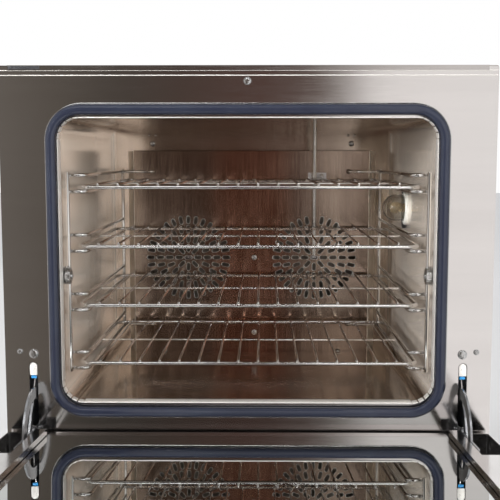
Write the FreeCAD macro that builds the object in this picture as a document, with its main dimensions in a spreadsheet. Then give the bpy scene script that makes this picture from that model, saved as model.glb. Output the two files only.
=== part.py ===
"""Countertop convection oven with four wire shelves, shown with its drop-down door open.

Frame: +X to the oven's right as its user faces it, +Y to the rear, +Z up. The origin lies on the
counter, in the middle of the whole object with the door let down. Lengths are millimetres.
"""

import FreeCAD
import Part
import Sketcher
import math
import os
import re

DOC = FreeCAD.newDocument("convection_oven")
X_AXIS = FreeCAD.Vector(1, 0, 0)
Y_AXIS = FreeCAD.Vector(0, 1, 0)
Z_AXIS = FreeCAD.Vector(0, 0, 1)
TURNS = {"X": (FreeCAD.Vector(1, 0, 1), 180), "Y": (FreeCAD.Vector(1, 1, 1), 240), "Z": (Z_AXIS, 0)}
SIDES = {"left": -1, "right": 1}
NODES = {}

# Sides of the many-sided sections that stand for round ones where they repeat or stay out of sight
WIRE_SIDES = 6
COARSE = 8
SCREW_SIDES = 12
FINE = 16
HANDLE_SIDES = 16
ELEMENT_STEP = 20
# Vent of the rear baffle: rings of slots, and the angle of the sector that repeats round it
VENT_RINGS = 4
VENT_SECTOR = 45

# Driving dimensions
SIZES = {
    "body_width": 600,
    "body_height": 577,
    "body_depth": 585,
    "front_plane": -71.4,
    "sheet_wall": 1.0,
    "front_wall": 1.2,
    "seat_gap": 0.3,
    "frame_side": 70,
    "frame_head": 61,
    "service_depth": 105,
    "foot_height": 28,
    "foot_radius": 20,
    "foot_inset": 45,
    "foot_front": 55,
    "base_rim": 22,
    "rail_inner": 150,
    "rail_outer": 190,
    "opening_bottom": 165,
    "opening_corner": 28,
    "frame_bottom": 122,
    "frame_return": 15,
    "cavity_side_step": 6,
    "cavity_floor_step": 12,
    "cavity_top_step": 4,
    "cavity_cove": 22,
    "insulation_side": 17,
    "insulation_wall": 24,
    "gasket_width": 13,
    "gasket_height": 12,
    "gasket_side_gap": 0.2,
    "gasket_top_gap": 2,
    "gasket_sill_gap": 4,
    "gasket_corner": 43,
    "baffle_wall": 1.2,
    "baffle_top_gap": 42,
    "baffle_floor_gap": 0,
    "baffle_flange_depth": 66,
    "baffle_flange_spread": 18,
    "baffle_foot": 12,
    "fan_height": 307,
    "vent_pitch": 15.2,
    "slot_length": 11.6,
    "slot_width": 5.4,
    "element_tube": 4,
    "wheel_depth": 42,
    "shaft_radius": 4,
    "shaft_play": 0.06,
    "motor_radius": 42,
    "motor_length": 58,
    "rung_lowest": 198.6,
    "rung_pair_gap": 20.6,
    "rack_wire": 5,
    "rack_front": 42,
    "rack_overhang": 3,
    "rung_bend": 7,
    "shelf_front": 50,
    "shelf_count": 4,
    "shelf_overlap": 13.5,
    "shelf_corner": 14,
    "shelf_wire": 5,
    "grid_wire": 3,
    "grid_overhang": 2.2,
    "grid_count": 16,
    "stud_depth": 28,
    "stud_height": 320,
    "stud_radius": 3,
    "nut_radius": 10.5,
    "nut_length": 13,
    "tube_x": 101,
    "tube_radius": 3.15,
    "tube_end": 311,
    "tube_bend": 14,
    "lamp_depth": 300,
    "lamp_height": 392,
    "lamp_radius": 20,
    "lamp_reach": 36.5,
    "lamp_ring_width": 6,
    "lamp_ring_height": 5,
    "panel_bottom": 31,
    "control_height": 70,
    "knob_spacing": 120,
    "knob_radius": 20,
    "knob_height": 20,
    "spindle_radius": 3,
    "button_radius": 8,
    "hinge_offset": 14,
    "slot_inset": 34.5,
    "hinge_height": 128,
    "door_open_angle": 86.6,
    "hinge_slot_width": 10.7,
    "hinge_slot_bottom": 134.7,
    "hinge_slot_height": 80.6,
    "pin_radius": 3,
    "arm_wall": 2.5,
    "arm_radius": 58,
    "arm_band": 14,
    "arm_sweep": 116,
    "hub_radius": 9,
    "nose_radius": 8,
    "door_foot": 7,
    "rail_inset": 53.5,
    "door_face": 32.3,
    "door_inner": 1.7,
    "glass_wall": 4,
    "glass_bottom": 14,
    "rail_width": 13,
    "rail_rise": 8,
    "window_bottom": 65,
    "window_lap": 10,
    "handle_radius": 11,
    "handle_reach": 48,
    "handle_bend": 26,
    "rosette_radius": 15,
    "outlet_radius": 15,
    "outlet_reach": 18,
    "inlet_radius": 13.2,
    "inlet_height": 95,
    "inlet_reach": 15,
    "gland_height": 75,
    "gland_radius": 11,
    "gland_bore": 5.5,
    "gland_reach": 18,
    "pan_head_radius": 4.7,
    "pan_head_height": 2.4,
    "frame_head_radius": 5.8,
}

# Dimensions that follow from the driving ones, kept in the sheet as formulas
FOLLOWING = {
    "opening_width": "body_width - 2 * frame_side",
    "opening_height": "body_height - opening_bottom - frame_head",
    "cavity_depth": "body_depth - service_depth",
    "foot_x": "body_width / 2 - foot_inset",
    "foot_rear": "body_depth - foot_front",
    "slot_x": "body_width / 2 - slot_inset",
    "baffle_width": "opening_width - 84",
    "baffle_depth": "cavity_depth - 92",
    "hook_spread": "baffle_width / 2 - 32",
    "fan_spacing": "baffle_width - 173",
    "element_radius": "fan_spacing / 2 - 11.5",
    "element_depth": "baffle_depth + 42",
    "wheel_radius": "element_radius - 16",
    "wheel_front": "baffle_depth + 16",
    "motor_plate_depth": "cavity_depth + 28",
    "rack_upright_x": "opening_width / 2 - 3",
    "rung_x": "opening_width / 2 - 25",
    "rack_rear": "baffle_depth - 9.5",
    "shelf_pitch": "(opening_height - 49.4) / shelf_count",
    "shelf_width": "2 * (rung_x + shelf_overlap)",
    "shelf_length": "rack_rear - shelf_front - 7.5",
    "grid_pitch": "(shelf_width - 57) / (grid_count - 1)",
    "tube_depth": "baffle_depth - 7",
    "tube_top": "body_height - 15",
    "tube_drop_x": "body_width / 2 - 60",
    "tube_drop_depth": "body_depth - 33",
    "clamp_height": "opening_bottom + opening_height + cavity_top_step - baffle_top_gap - 41",
    "button_x": "body_width / 2 - 110",
    "pilot_x": "button_x - 40",
    "door_width": "body_width - 4",
    "door_top": "body_height - hinge_height - 4",
    "glass_top": "door_top - 9",
    "rail_x": "door_width / 2 - rail_inset",
    "glass_width": "2 * (rail_x - 1)",
    "window_width": "door_width - 196",
    "window_top": "door_top - 65",
    "handle_span": "door_width - 166",
    "handle_height": "door_top - 43",
    "outlet_height": "body_height - 92",
    "gland_x": "body_width / 2 - 85",
}

SHEET = DOC.addObject("Spreadsheet::Sheet", "Sizes")
CELLS = {**SIZES, **{alias: "=" + formula for alias, formula in FOLLOWING.items()}}
for row, (alias, size) in enumerate(CELLS.items(), start=1):
    SHEET.set(f"A{row}", alias.replace("_", " "))
    SHEET.set(f"B{row}", str(size))
    SHEET.setAlias(f"B{row}", alias)
DOC.recompute()
ALIASES = re.compile(r"\b(" + "|".join(sorted(CELLS, key=len, reverse=True)) + r")\b")

# Places that more than one piece shares, written once in terms of the driving dimensions
CAVITY_X = "(opening_width / 2 + cavity_side_step)"
CAVITY_FLOOR = "(opening_bottom - cavity_floor_step)"
CAVITY_TOP = "(opening_bottom + opening_height + cavity_top_step)"
OPENING_TOP = "(opening_bottom + opening_height)"
BASE_TOP = "(foot_height + front_wall)"
PANEL_TOP = "(frame_bottom - 1.5)"
BAFFLE_TOP = f"({CAVITY_TOP} - baffle_top_gap)"
BAFFLE_BOTTOM = f"({CAVITY_FLOOR} + baffle_floor_gap)"
HINGE_DEPTH = "(-hinge_offset)"
RECEIVER_DEPTH = 62
SHELF_NAMES = ("shelf_1", "shelf_2", "shelf_3", "shelf_4")


def number(text):
    """Value of an expression written with the aliases of the sheet."""
    value = SHEET.evalExpression(str(text))
    return float(getattr(value, "Value", value))


def bound(text):
    """The same expression as another object of the document reads it."""
    return ALIASES.sub(r"Sizes.\1", str(text))


def rear_of(text):
    """World Y of a place that lies this far behind the oven's front plane."""
    return f"front_plane + ({text})"


def put(shape, x=0, y=0, z=0):
    """Binds an object's position to the sheet."""
    for letter, text in zip("xyz", (x, y, z)):
        shape.setExpression(f".Placement.Base.{letter}", bound(text))
    return shape


def slab(name, x, y, z):
    """Box between pairs of expressions along each axis."""
    made = DOC.addObject("Part::Box", name)
    for size, (low, high) in zip(("Length", "Width", "Height"), (x, y, z)):
        made.setExpression(size, bound(f"({high}) - ({low})"))
    return put(made, x[0], y[0], z[0])


def mirrored(side, low, high):
    """X range at one side of the oven, low being the end nearer the middle."""
    return (low, high) if side > 0 else (f"-({high})", f"-({low})")


def rod(name, axis, radius, start, length, sides=None):
    """Cylinder, or prism where sides are given, from a start point along +X, +Y or +Z."""
    made = DOC.addObject("Part::Prism" if sides else "Part::Cylinder", name)
    if sides:
        made.Polygon = sides
    made.setExpression("Circumradius" if sides else "Radius", bound(radius))
    made.setExpression("Height", bound(length))
    made.Placement = FreeCAD.Placement(FreeCAD.Vector(), FreeCAD.Rotation(*TURNS[axis]))
    return put(made, *start)


def cut(name, base, *tools):
    """Base less every tool, one after another."""
    for index, tool in enumerate(tools, start=1):
        last = index == len(tools)
        made = DOC.addObject("Part::Cut", name if last else f"{name}_cut_{index}")
        made.Base = base
        made.Tool = tool
        base = made
    return base


def fuse(name, *shapes):
    """One solid made of several that meet."""
    made = DOC.addObject("Part::MultiFuse", name)
    made.Shapes = list(shapes)
    made.Refine = True
    return made


def group(name, *shapes):
    """Separate solids kept together."""
    made = DOC.addObject("Part::Compound", name)
    made.Links = list(shapes)
    return made


def node(name, made):
    """Registers a finished sub-part under the name of its file."""
    made.Label = name
    NODES[name] = made
    return made


def hang(made):
    """Turns a door piece from its closed place to the door's resting place, let down."""
    made.Placement = FreeCAD.Placement(FreeCAD.Vector(), FreeCAD.Rotation(X_AXIS, 1))
    made.setExpression(".Placement.Rotation.Angle", bound("door_open_angle"))
    return put(made, 0, rear_of(HINGE_DEPTH), "hinge_height")


def new_body(name):
    """Empty body of sketched features."""
    return DOC.addObject("PartDesign::Body", name)


def sketch(body, name, role, offset=(0, 0, 0)):
    """Sketch on one of the body's own origin planes, shifted by expressions in the plane's own axes."""
    made = body.newObject("Sketcher::SketchObject", name)
    plane = [item for item in body.Origin.OriginFeatures if item.Role == role][0]
    made.AttachmentSupport = (plane, [""])
    made.MapMode = "FlatFace"
    for letter, text in zip("xyz", offset):
        made.setExpression(f".AttachmentOffset.Base.{letter}", bound(text))
    return made


def fix_point(made, geometry, end, x, y):
    """Binds both coordinates of a sketch point to the sheet."""
    for kind, text in (("DistanceX", x), ("DistanceY", y)):
        index = made.addConstraint(Sketcher.Constraint(kind, geometry, end, number(text)))
        made.setExpression(f"Constraints[{index}]", bound(text))


def outline(made, points):
    """Closed straight-sided outline through corner points given as expressions."""
    places = [FreeCAD.Vector(number(x), number(y), 0) for x, y in points]
    first = made.GeometryCount
    count = len(places)
    for index, place in enumerate(places):
        made.addGeometry(Part.LineSegment(place, places[(index + 1) % count]), False)
    for index, (x, y) in enumerate(points):
        after = (index + 1) % count
        made.addConstraint(Sketcher.Constraint("Coincident", first + index, 2, first + after, 1))
        fix_point(made, first + index, 1, x, y)


def circle(made, x, y, radius):
    """Circle with its centre and radius bound to the sheet."""
    centre = FreeCAD.Vector(number(x), number(y), 0)
    geometry = made.addGeometry(Part.Circle(centre, Z_AXIS, number(radius)), False)
    index = made.addConstraint(Sketcher.Constraint("Radius", geometry, number(radius)))
    made.setExpression(f"Constraints[{index}]", bound(radius))
    fix_point(made, geometry, 3, x, y)


def polygon(made, x, y, radius, sides):
    """Regular outline round a centre, for a small hole."""
    turns = [2 * math.pi * i / sides for i in range(sides)]
    outline(made, [(f"{x} + ({radius}) * {math.cos(a):.6f}",
                    f"{y} + ({radius}) * {math.sin(a):.6f}") for a in turns])


def rounded(made, x, y, radius):
    """Rectangle between two pairs of expressions with four equal rounded corners."""
    (x0, x1), (y0, y1) = x, y
    left, right, low, high, bend = (number(text) for text in (x0, x1, y0, y1, radius))
    corners = ((right - bend, low + bend, 270), (right - bend, high - bend, 0),
               (left + bend, high - bend, 90), (left + bend, low + bend, 180))
    first = made.GeometryCount
    for cx, cy, start in corners:
        ring = Part.Circle(FreeCAD.Vector(cx, cy, 0), Z_AXIS, bend)
        a = math.radians(start)
        made.addGeometry(Part.ArcOfCircle(ring, a, a + math.pi / 2), False)
    ends = [(made.Geometry[first + i].EndPoint, made.Geometry[first + (i + 1) % 4].StartPoint)
            for i in range(4)]
    for start, end in ends:
        made.addGeometry(Part.LineSegment(start, end), False)
    for i in range(4):
        line = first + 4 + i
        made.addConstraint(Sketcher.Constraint("Tangent", first + i, 2, line, 1))
        made.addConstraint(Sketcher.Constraint("Tangent", line, 2, first + (i + 1) % 4, 1))
        upright = "Vertical" if i % 2 == 0 else "Horizontal"
        made.addConstraint(Sketcher.Constraint(upright, line))
        if i:
            made.addConstraint(Sketcher.Constraint("Equal", first, first + i))
    index = made.addConstraint(Sketcher.Constraint("Radius", first, bend))
    made.setExpression(f"Constraints[{index}]", bound(radius))
    for geometry, kind, text in ((first + 4, "DistanceX", x1), (first + 6, "DistanceX", x0),
                                 (first + 5, "DistanceY", y1), (first + 7, "DistanceY", y0)):
        index = made.addConstraint(Sketcher.Constraint(kind, geometry, 1, number(text)))
        made.setExpression(f"Constraints[{index}]", bound(text))


def pad(body, profile, length, backwards=False, midplane=False):
    """Material added along the sketch's normal."""
    made = body.newObject("PartDesign::Pad", profile.Name + "_pad")
    made.Profile = profile
    made.Reversed = backwards
    made.Midplane = midplane
    made.setExpression("Length", bound(length))
    DOC.recompute()
    return made


def pocket(body, profile, length, backwards=False):
    """Material removed against the sketch's normal, or along it when turned."""
    before = body.Shape.Volume
    made = body.newObject("PartDesign::Pocket", profile.Name + "_pocket")
    made.Profile = profile
    made.Reversed = backwards
    made.setExpression("Length", bound(length))
    DOC.recompute()
    if not body.Shape.Volume < before:
        raise RuntimeError(f"{made.Name} removes nothing")
    return made


def round_edges(body, name, base, radius, wanted):
    """Fillet on each edge whose ends satisfy the given test."""
    chosen = []
    for index, edge in enumerate(base.Shape.Edges, start=1):
        ends = [vertex.Point for vertex in edge.Vertexes]
        if ends and wanted(edge, ends[0], ends[-1]):
            chosen.append(f"Edge{index}")
    made = body.newObject("PartDesign::Fillet", name)
    made.Base = (base, chosen)
    made.setExpression("Radius", bound(radius))
    DOC.recompute()
    return made


def bevel_edges(body, name, base, size, wanted):
    """Chamfer on each edge whose ends satisfy the given test."""
    chosen = []
    for index, edge in enumerate(base.Shape.Edges, start=1):
        ends = [vertex.Point for vertex in edge.Vertexes]
        if ends and wanted(edge, ends[0], ends[-1]):
            chosen.append(f"Edge{index}")
    made = body.newObject("PartDesign::Chamfer", name)
    made.Base = (base, chosen)
    made.setExpression("Size", bound(size))
    DOC.recompute()
    return made


def bend_route(corners, bend, closed, steps):
    """Corner points of a route, each bend opened out into a few short runs."""
    if not steps:
        return corners
    route = [] if closed else [corners[0]]
    inner = range(len(corners)) if closed else range(1, len(corners) - 1)
    for index in inner:
        corner = corners[index]
        back = (corners[index - 1] - corner).normalize()
        ahead = (corners[(index + 1) % len(corners)] - corner).normalize()
        half = back.getAngle(ahead) / 2
        centre = corner + (back + ahead).normalize() * (bend / math.sin(half))
        first = corner + back * (bend / math.tan(half)) - centre
        turn_axis = back.cross(first)
        swept = math.degrees(math.pi - 2 * half)
        for step in range(steps + 1):
            route.append(centre + FreeCAD.Rotation(turn_axis, swept * step / steps).multVec(first))
    return route if closed else route + [corners[-1]]


def ring_of(centre, way, radius, sides):
    """Corners of a regular section across a route, one of them as high as it can be."""
    up = Z_AXIS if abs(way.dot(Z_AXIS)) < 0.9 else X_AXIS
    up = (up - way * up.dot(way)).normalize()
    aside = way.cross(up)
    angles = [2 * math.pi * i / sides for i in range(sides)]
    return [centre + up * (radius * math.cos(a)) + aside * (radius * math.sin(a)) for a in angles]


def slide_onto(ring, way, place, mitre):
    """Each corner of a section moved along its run to the plane of the next mitre."""
    return [point + way * ((place - point).dot(mitre) / way.dot(mitre)) for point in ring]


def bent_tube(name, points, bend, radius, sides=WIRE_SIDES, closed=False, steps=1):
    """Wire or tube of a many-sided section: straight runs joined by mitred bends."""
    corners = [FreeCAD.Vector(*(number(text) for text in point)) for point in points]
    route = bend_route(corners, number(bend), closed, steps)
    count = len(route)
    runs = count if closed else count - 1
    ways = [(route[(i + 1) % count] - route[i]).normalize() for i in range(runs)]
    first_mitre = ways[-1] + ways[0] if closed else ways[0]
    ring = slide_onto(ring_of(route[0], ways[0], number(radius), sides), ways[0], route[0], first_mitre)
    rings = [ring]
    for index, way in enumerate(ways):
        last = index == runs - 1
        after = ways[0] if closed else way
        mitre = way + (after if last else ways[index + 1])
        ring = slide_onto(ring, way, route[(index + 1) % count], mitre)
        rings.append(ring)
    faces = []
    for low, high in zip(rings, rings[1:]):
        for i in range(sides):
            j = (i + 1) % sides
            faces.append(Part.Face(Part.makePolygon([low[i], low[j], high[j], high[i], low[i]])))
    if not closed:
        for end in (rings[0], rings[-1]):
            faces.append(Part.Face(Part.makePolygon(end + end[:1])))
    solid = Part.makeSolid(Part.makeShell(faces))
    if solid.Volume < 0:
        solid.reverse()
    made = DOC.addObject("Part::Feature", name)
    made.Shape = solid
    return made


# Stand and casing
def build_feet():
    """Four tapered feet under the base plate."""
    feet = []
    for x in ("-foot_x", "foot_x"):
        for y in ("foot_front", "foot_rear"):
            foot = DOC.addObject("Part::Cone", f"foot_{len(feet) + 1}")
            foot.setExpression("Radius1", bound("foot_radius * 0.85"))
            foot.setExpression("Radius2", bound("foot_radius"))
            foot.setExpression("Height", bound("foot_height"))
            feet.append(put(foot, x, rear_of(y), 0))
    node("feet", group("feet_set", *feet))


def build_base():
    """Tray under the oven and the two rails that carry the cavity."""
    side = "(body_width / 2 - sheet_wall - seat_gap)"
    outer = slab("base_outer", (f"-{side}", side),
                 (rear_of("front_wall + seat_gap"), rear_of("body_depth - 6")),
                 ("foot_height", "foot_height + base_rim"))
    inner = slab("base_inner", (f"-{side} + front_wall", f"{side} - front_wall"),
                 (rear_of("front_wall * 2 + seat_gap"), rear_of("body_depth - 6 - front_wall")),
                 (BASE_TOP, "foot_height + base_rim + 1"))
    node("base_plate", cut("base_tray", outer, inner))
    rails = []
    for label, side in SIDES.items():
        outer = slab(f"rail_{label}_outer", mirrored(side, "rail_inner", "rail_outer"),
                     (rear_of("42"), rear_of("motor_plate_depth - seat_gap")),
                     (BASE_TOP, f"{CAVITY_FLOOR} - insulation_wall + 2.7"))
        inner = slab(f"rail_{label}_inner", mirrored(side, "rail_inner + front_wall",
                                                     "rail_outer - front_wall"),
                     (rear_of("41"), rear_of("motor_plate_depth + 1")),
                     (f"{BASE_TOP} - 1", f"{CAVITY_FLOOR} - insulation_wall + 2.7 - front_wall"))
        rails.append(cut(f"rail_{label}", outer, inner))
    node("chassis_rails", group("chassis_rail_pair", *rails))


def build_wrap():
    """Folded sheet over both sides and the top, with vent slots and a front lip."""
    body = new_body("wrap")
    profile = sketch(body, "wrap_profile", "XZ_Plane", (0, 0, f"-({rear_of('front_wall + seat_gap')})"))
    half, inside = "body_width / 2", "body_width / 2 - sheet_wall"
    low, top, under = "panel_bottom", "body_height", "body_height - sheet_wall"
    outline(profile, [(f"-({half})", low), (f"-({half})", top), (half, top), (half, low),
                      (inside, low), (inside, under), (f"-({inside})", under), (f"-({inside})", low)])
    shell = pad(body, profile, "body_depth - 5 - front_wall - seat_gap", backwards=True)
    edge_height = number(top) - 0.01
    edge_side = number(half) - 0.01

    def outer_corner(edge, a, b):
        level = min(a.z, b.z) > edge_height and abs(a.x) > edge_side
        return level and abs(a.x - b.x) < 0.01
    round_edges(body, "wrap_fold", shell, "sheet_wall * 2.5", outer_corner)
    vents = sketch(body, "wrap_vents", "YZ_Plane", (0, 0, "-(body_width)"))
    y = rear_of("430")
    outline(vents, [(y, "60"), (f"{y} + 4", "60"), (f"{y} + 4", "96"), (y, "96")])
    first = pocket(body, vents, "body_width * 2", backwards=True)
    row = body.newObject("PartDesign::LinearPattern", "wrap_vent_row")
    row.Originals = [first]
    row.Direction = (vents, ["H_Axis"])
    row.Length = 112
    row.Occurrences = 8
    body.Tip = row
    DOC.recompute()
    lip = slab("wrap_lip", ("-body_width / 2 + 12", "body_width / 2 - 12"),
               (rear_of("-sheet_wall - seat_gap"), rear_of("-seat_gap")),
               ("body_height - 6", "body_height"))
    bridge = slab("wrap_bridge", ("-body_width / 2 + 12", "body_width / 2 - 12"),
                  (rear_of("-seat_gap - sheet_wall / 2"), rear_of("front_wall + seat_gap + 1")),
                  ("body_height - sheet_wall", "body_height"))
    node("outer_wrap", fuse("wrap_with_lip", body, lip, bridge))


def build_rear_cover():
    """Dished rear sheet with louvres and openings for the connections."""
    body = new_body("rear_cover_body")
    rear = rear_of("body_depth")
    side = "body_width / 2"
    face = sketch(body, "rear_face", "XZ_Plane", (0, 0, f"-({rear})"))
    outline(face, [(f"-({side})", "panel_bottom"), (side, "panel_bottom"), (side, "body_height"),
                   (f"-({side})", "body_height")])
    pad(body, face, "4.5")
    hollow = sketch(body, "rear_hollow", "XZ_Plane", (0, 0, f"-({rear_of('body_depth - 4.5')})"))
    low, high, inner = "panel_bottom + sheet_wall", "body_height - sheet_wall", f"({side} - sheet_wall)"
    outline(hollow, [(f"-{inner}", low), (inner, low), (inner, high), (f"-{inner}", high)])
    pocket(body, hollow, "4.5 - sheet_wall")
    for index, x in enumerate(("-body_width / 4", "body_width / 4")):
        louvre = sketch(body, f"louvre_{index}", "XZ_Plane", (0, 0, f"-({rear})"))
        outline(louvre, [(f"{x} - 60", "240"), (f"{x} + 60", "240"), (f"{x} + 60", "245"),
                         (f"{x} - 60", "245")])
        first = pocket(body, louvre, "6", backwards=True)
        row = body.newObject("PartDesign::LinearPattern", f"louvre_rows_{index}")
        row.Originals = [first]
        row.Direction = (louvre, ["V_Axis"])
        row.Length = 120
        row.Occurrences = 9
        body.Tip = row
        DOC.recompute()
    ports = [rod("port_outlet", "Y", "outlet_radius + 0.7", ("0", f"{rear} - 6", "outlet_height"), "12",
                 FINE),
             rod("port_inlet", "Y", "inlet_radius + 0.7", ("tube_drop_x", f"{rear} - 6", "inlet_height"),
                 "12", FINE),
             rod("port_gland", "Y", "gland_radius + 0.1", ("-gland_x", f"{rear} - 6", "gland_height"), "12",
                 FINE)]
    node("rear_cover", cut("rear_cover_ported", body, *ports))


def build_front_frame():
    """Face round the cavity's opening, with hinge slots and folds behind it."""
    body = new_body("front_frame_body")
    side = "body_width / 2"
    face = sketch(body, "frame_face", "XZ_Plane", (0, 0, f"-({rear_of('0')})"))
    rounded(face, (f"-({side})", side), ("frame_bottom", "body_height - sheet_wall - seat_gap"), "2")
    rounded(face, ("-opening_width / 2", "opening_width / 2"), ("opening_bottom", OPENING_TOP),
            "opening_corner")
    pad(body, face, "front_wall", backwards=True)
    slots = sketch(body, "hinge_slots", "XZ_Plane", (0, 0, f"-({rear_of('0')})"))
    for sign in ("-", ""):
        centre = f"({sign}slot_x)"
        rounded(slots, (f"{centre} - hinge_slot_width / 2", f"{centre} + hinge_slot_width / 2"),
                ("hinge_slot_bottom", "hinge_slot_bottom + hinge_slot_height"), "hinge_slot_width / 2 - 0.2")
    pocket(body, slots, "front_wall * 2")
    lower = "frame_bottom"
    upper = "body_height - sheet_wall - seat_gap - front_wall"
    outer = "body_width / 2 - sheet_wall - seat_gap"
    behind = (rear_of("front_wall / 2"), rear_of("frame_return"))
    left = slab("frame_fold_left", (f"-({outer})", f"-({outer}) + front_wall"), behind, (lower, upper))
    right = slab("frame_fold_right", (f"{outer} - front_wall", outer), behind, (lower, upper))
    top = slab("frame_fold_top", (f"-({outer})", outer), behind, (upper, f"{upper} + front_wall"))
    node("front_frame", fuse("front_frame_folded", body, left, right, top))


# Hot cavity
def build_liner():
    """One-piece cavity with rounded corners and holes for shafts, studs, lamp and tube."""
    wall = "sheet_wall"
    start = rear_of("front_wall")
    shells = []
    for tag, grow, ahead in (("outer", wall, "0"), ("room", "0", "1")):
        body = new_body(f"liner_{tag}")
        block = sketch(body, f"liner_{tag}_block", "XZ_Plane", (0, 0, f"-({start} - {ahead})"))
        rounded(block, (f"-{CAVITY_X} - {grow}", f"{CAVITY_X} + {grow}"),
                (f"{CAVITY_FLOOR} - {grow}", f"{CAVITY_TOP} + {grow}"), f"cavity_cove + {grow}")
        pad(body, block, f"cavity_depth - front_wall + {grow} + {ahead}", backwards=True)
        shells.append(body)
    holes = []
    for label, side in SIDES.items():
        holes.append(rod(f"liner_shaft_{label}", "Y", "shaft_radius * 2",
                         (f"{side} * fan_spacing / 2", rear_of("cavity_depth - 5"), "fan_height"), "12",
                         COARSE))
        holes.append(rod(f"liner_stud_{label}", "X", "stud_radius + 0.4",
                         (f"{side} * ({CAVITY_X}) - 5", rear_of("stud_depth"), "stud_height"), "10", COARSE))
    holes.append(rod("liner_lamp", "X", "lamp_radius - 1.5",
                     (f"{CAVITY_X} - 3", rear_of("lamp_depth"), "lamp_height"), "8", FINE))
    holes.append(rod("liner_tube", "Z", "tube_radius + 0.6",
                     ("tube_x", rear_of("tube_depth"), f"{CAVITY_TOP} - 3"), "8", COARSE))
    holes.append(rod("liner_outlet", "Y", "outlet_radius - 1.6",
                     ("0", rear_of("cavity_depth - 3"), "outlet_height"), "8", FINE))
    node("cavity_liner", cut("liner_shell", *shells, *holes))


def build_insulation():
    """Wool round the cavity's five closed sides."""
    gap = "(sheet_wall + seat_gap)"
    outer = slab("wool_outer", (f"-{CAVITY_X} - {gap} - insulation_side",
                                f"{CAVITY_X} + {gap} + insulation_side"),
                 (rear_of("front_wall + 2"), rear_of("motor_plate_depth - seat_gap")),
                 (f"{CAVITY_FLOOR} - insulation_wall + 3", f"{CAVITY_TOP} + insulation_wall"))
    inner = slab("wool_inner", (f"-{CAVITY_X} - {gap}", f"{CAVITY_X} + {gap}"),
                 (rear_of("0"), rear_of(f"cavity_depth + {gap}")),
                 (f"{CAVITY_FLOOR} - {gap}", f"{CAVITY_TOP} + {gap}"))
    holes = []
    for label, side in SIDES.items():
        holes.append(rod(f"wool_shaft_{label}", "Y", "shaft_radius * 2.5",
                         (f"{side} * fan_spacing / 2", rear_of("cavity_depth - 5"), "fan_height"), "60",
                         COARSE))
        holes.append(rod(f"wool_stud_{label}", "X", "9",
                         (f"{side} * ({CAVITY_X} + 20) - 25", rear_of("stud_depth"), "stud_height"), "50",
                         COARSE))
    holes.append(rod("wool_lamp", "X", "lamp_radius + 3",
                     (f"{CAVITY_X} - 3", rear_of("lamp_depth"), "lamp_height"), "40", COARSE))
    holes.append(rod("wool_tube", "Z", "tube_radius + 1.5",
                     ("tube_x", rear_of("tube_depth"), f"{CAVITY_TOP} - 3"), "50", COARSE))
    holes.append(rod("wool_outlet", "Y", "outlet_radius + 3",
                     ("0", rear_of("cavity_depth - 3"), "outlet_height"), "50", COARSE))
    node("insulation", cut("wool_shell", outer, inner, *holes))


def build_gasket():
    """Seal round the opening, chamfered on its face."""
    body = new_body("gasket_body")
    low_x = "opening_width / 2 + gasket_side_gap"
    low_z, high_z = "opening_bottom - gasket_sill_gap", f"{OPENING_TOP} + gasket_top_gap"
    ring = sketch(body, "gasket_ring", "XZ_Plane", (0, 0, f"-({rear_of('0')})"))
    rounded(ring, (f"-({low_x}) - gasket_width", f"{low_x} + gasket_width"),
            (f"{low_z} - gasket_width", f"{high_z} + gasket_width"), "gasket_corner")
    rounded(ring, (f"-({low_x})", low_x), (low_z, high_z), "gasket_corner - gasket_width")
    bulb = pad(body, ring, "gasket_height")
    front = number(rear_of("-gasket_height")) + 0.01
    bevel_edges(body, "gasket_crown", bulb, "gasket_width * 0.3", lambda edge, a, b: max(a.y, b.y) < front)
    node("door_gasket", body)


def radial_slot(made, radius, angle):
    """Slot that points away from the vent's centre, its middle at this radius and angle."""
    across, along = math.cos(math.radians(angle)), math.sin(math.radians(angle))
    corners = []
    for end, flank in ((-1, -1), (1, -1), (1, 1), (-1, 1)):
        out = f"({radius} + {end} * slot_length / 2)"
        aside = f"({flank} * slot_width / 2)"
        corners.append((f"{out} * {across:.6f} - {aside} * {along:.6f}",
                        f"{out} * {along:.6f} + {aside} * {across:.6f}"))
    outline(made, corners)


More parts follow.
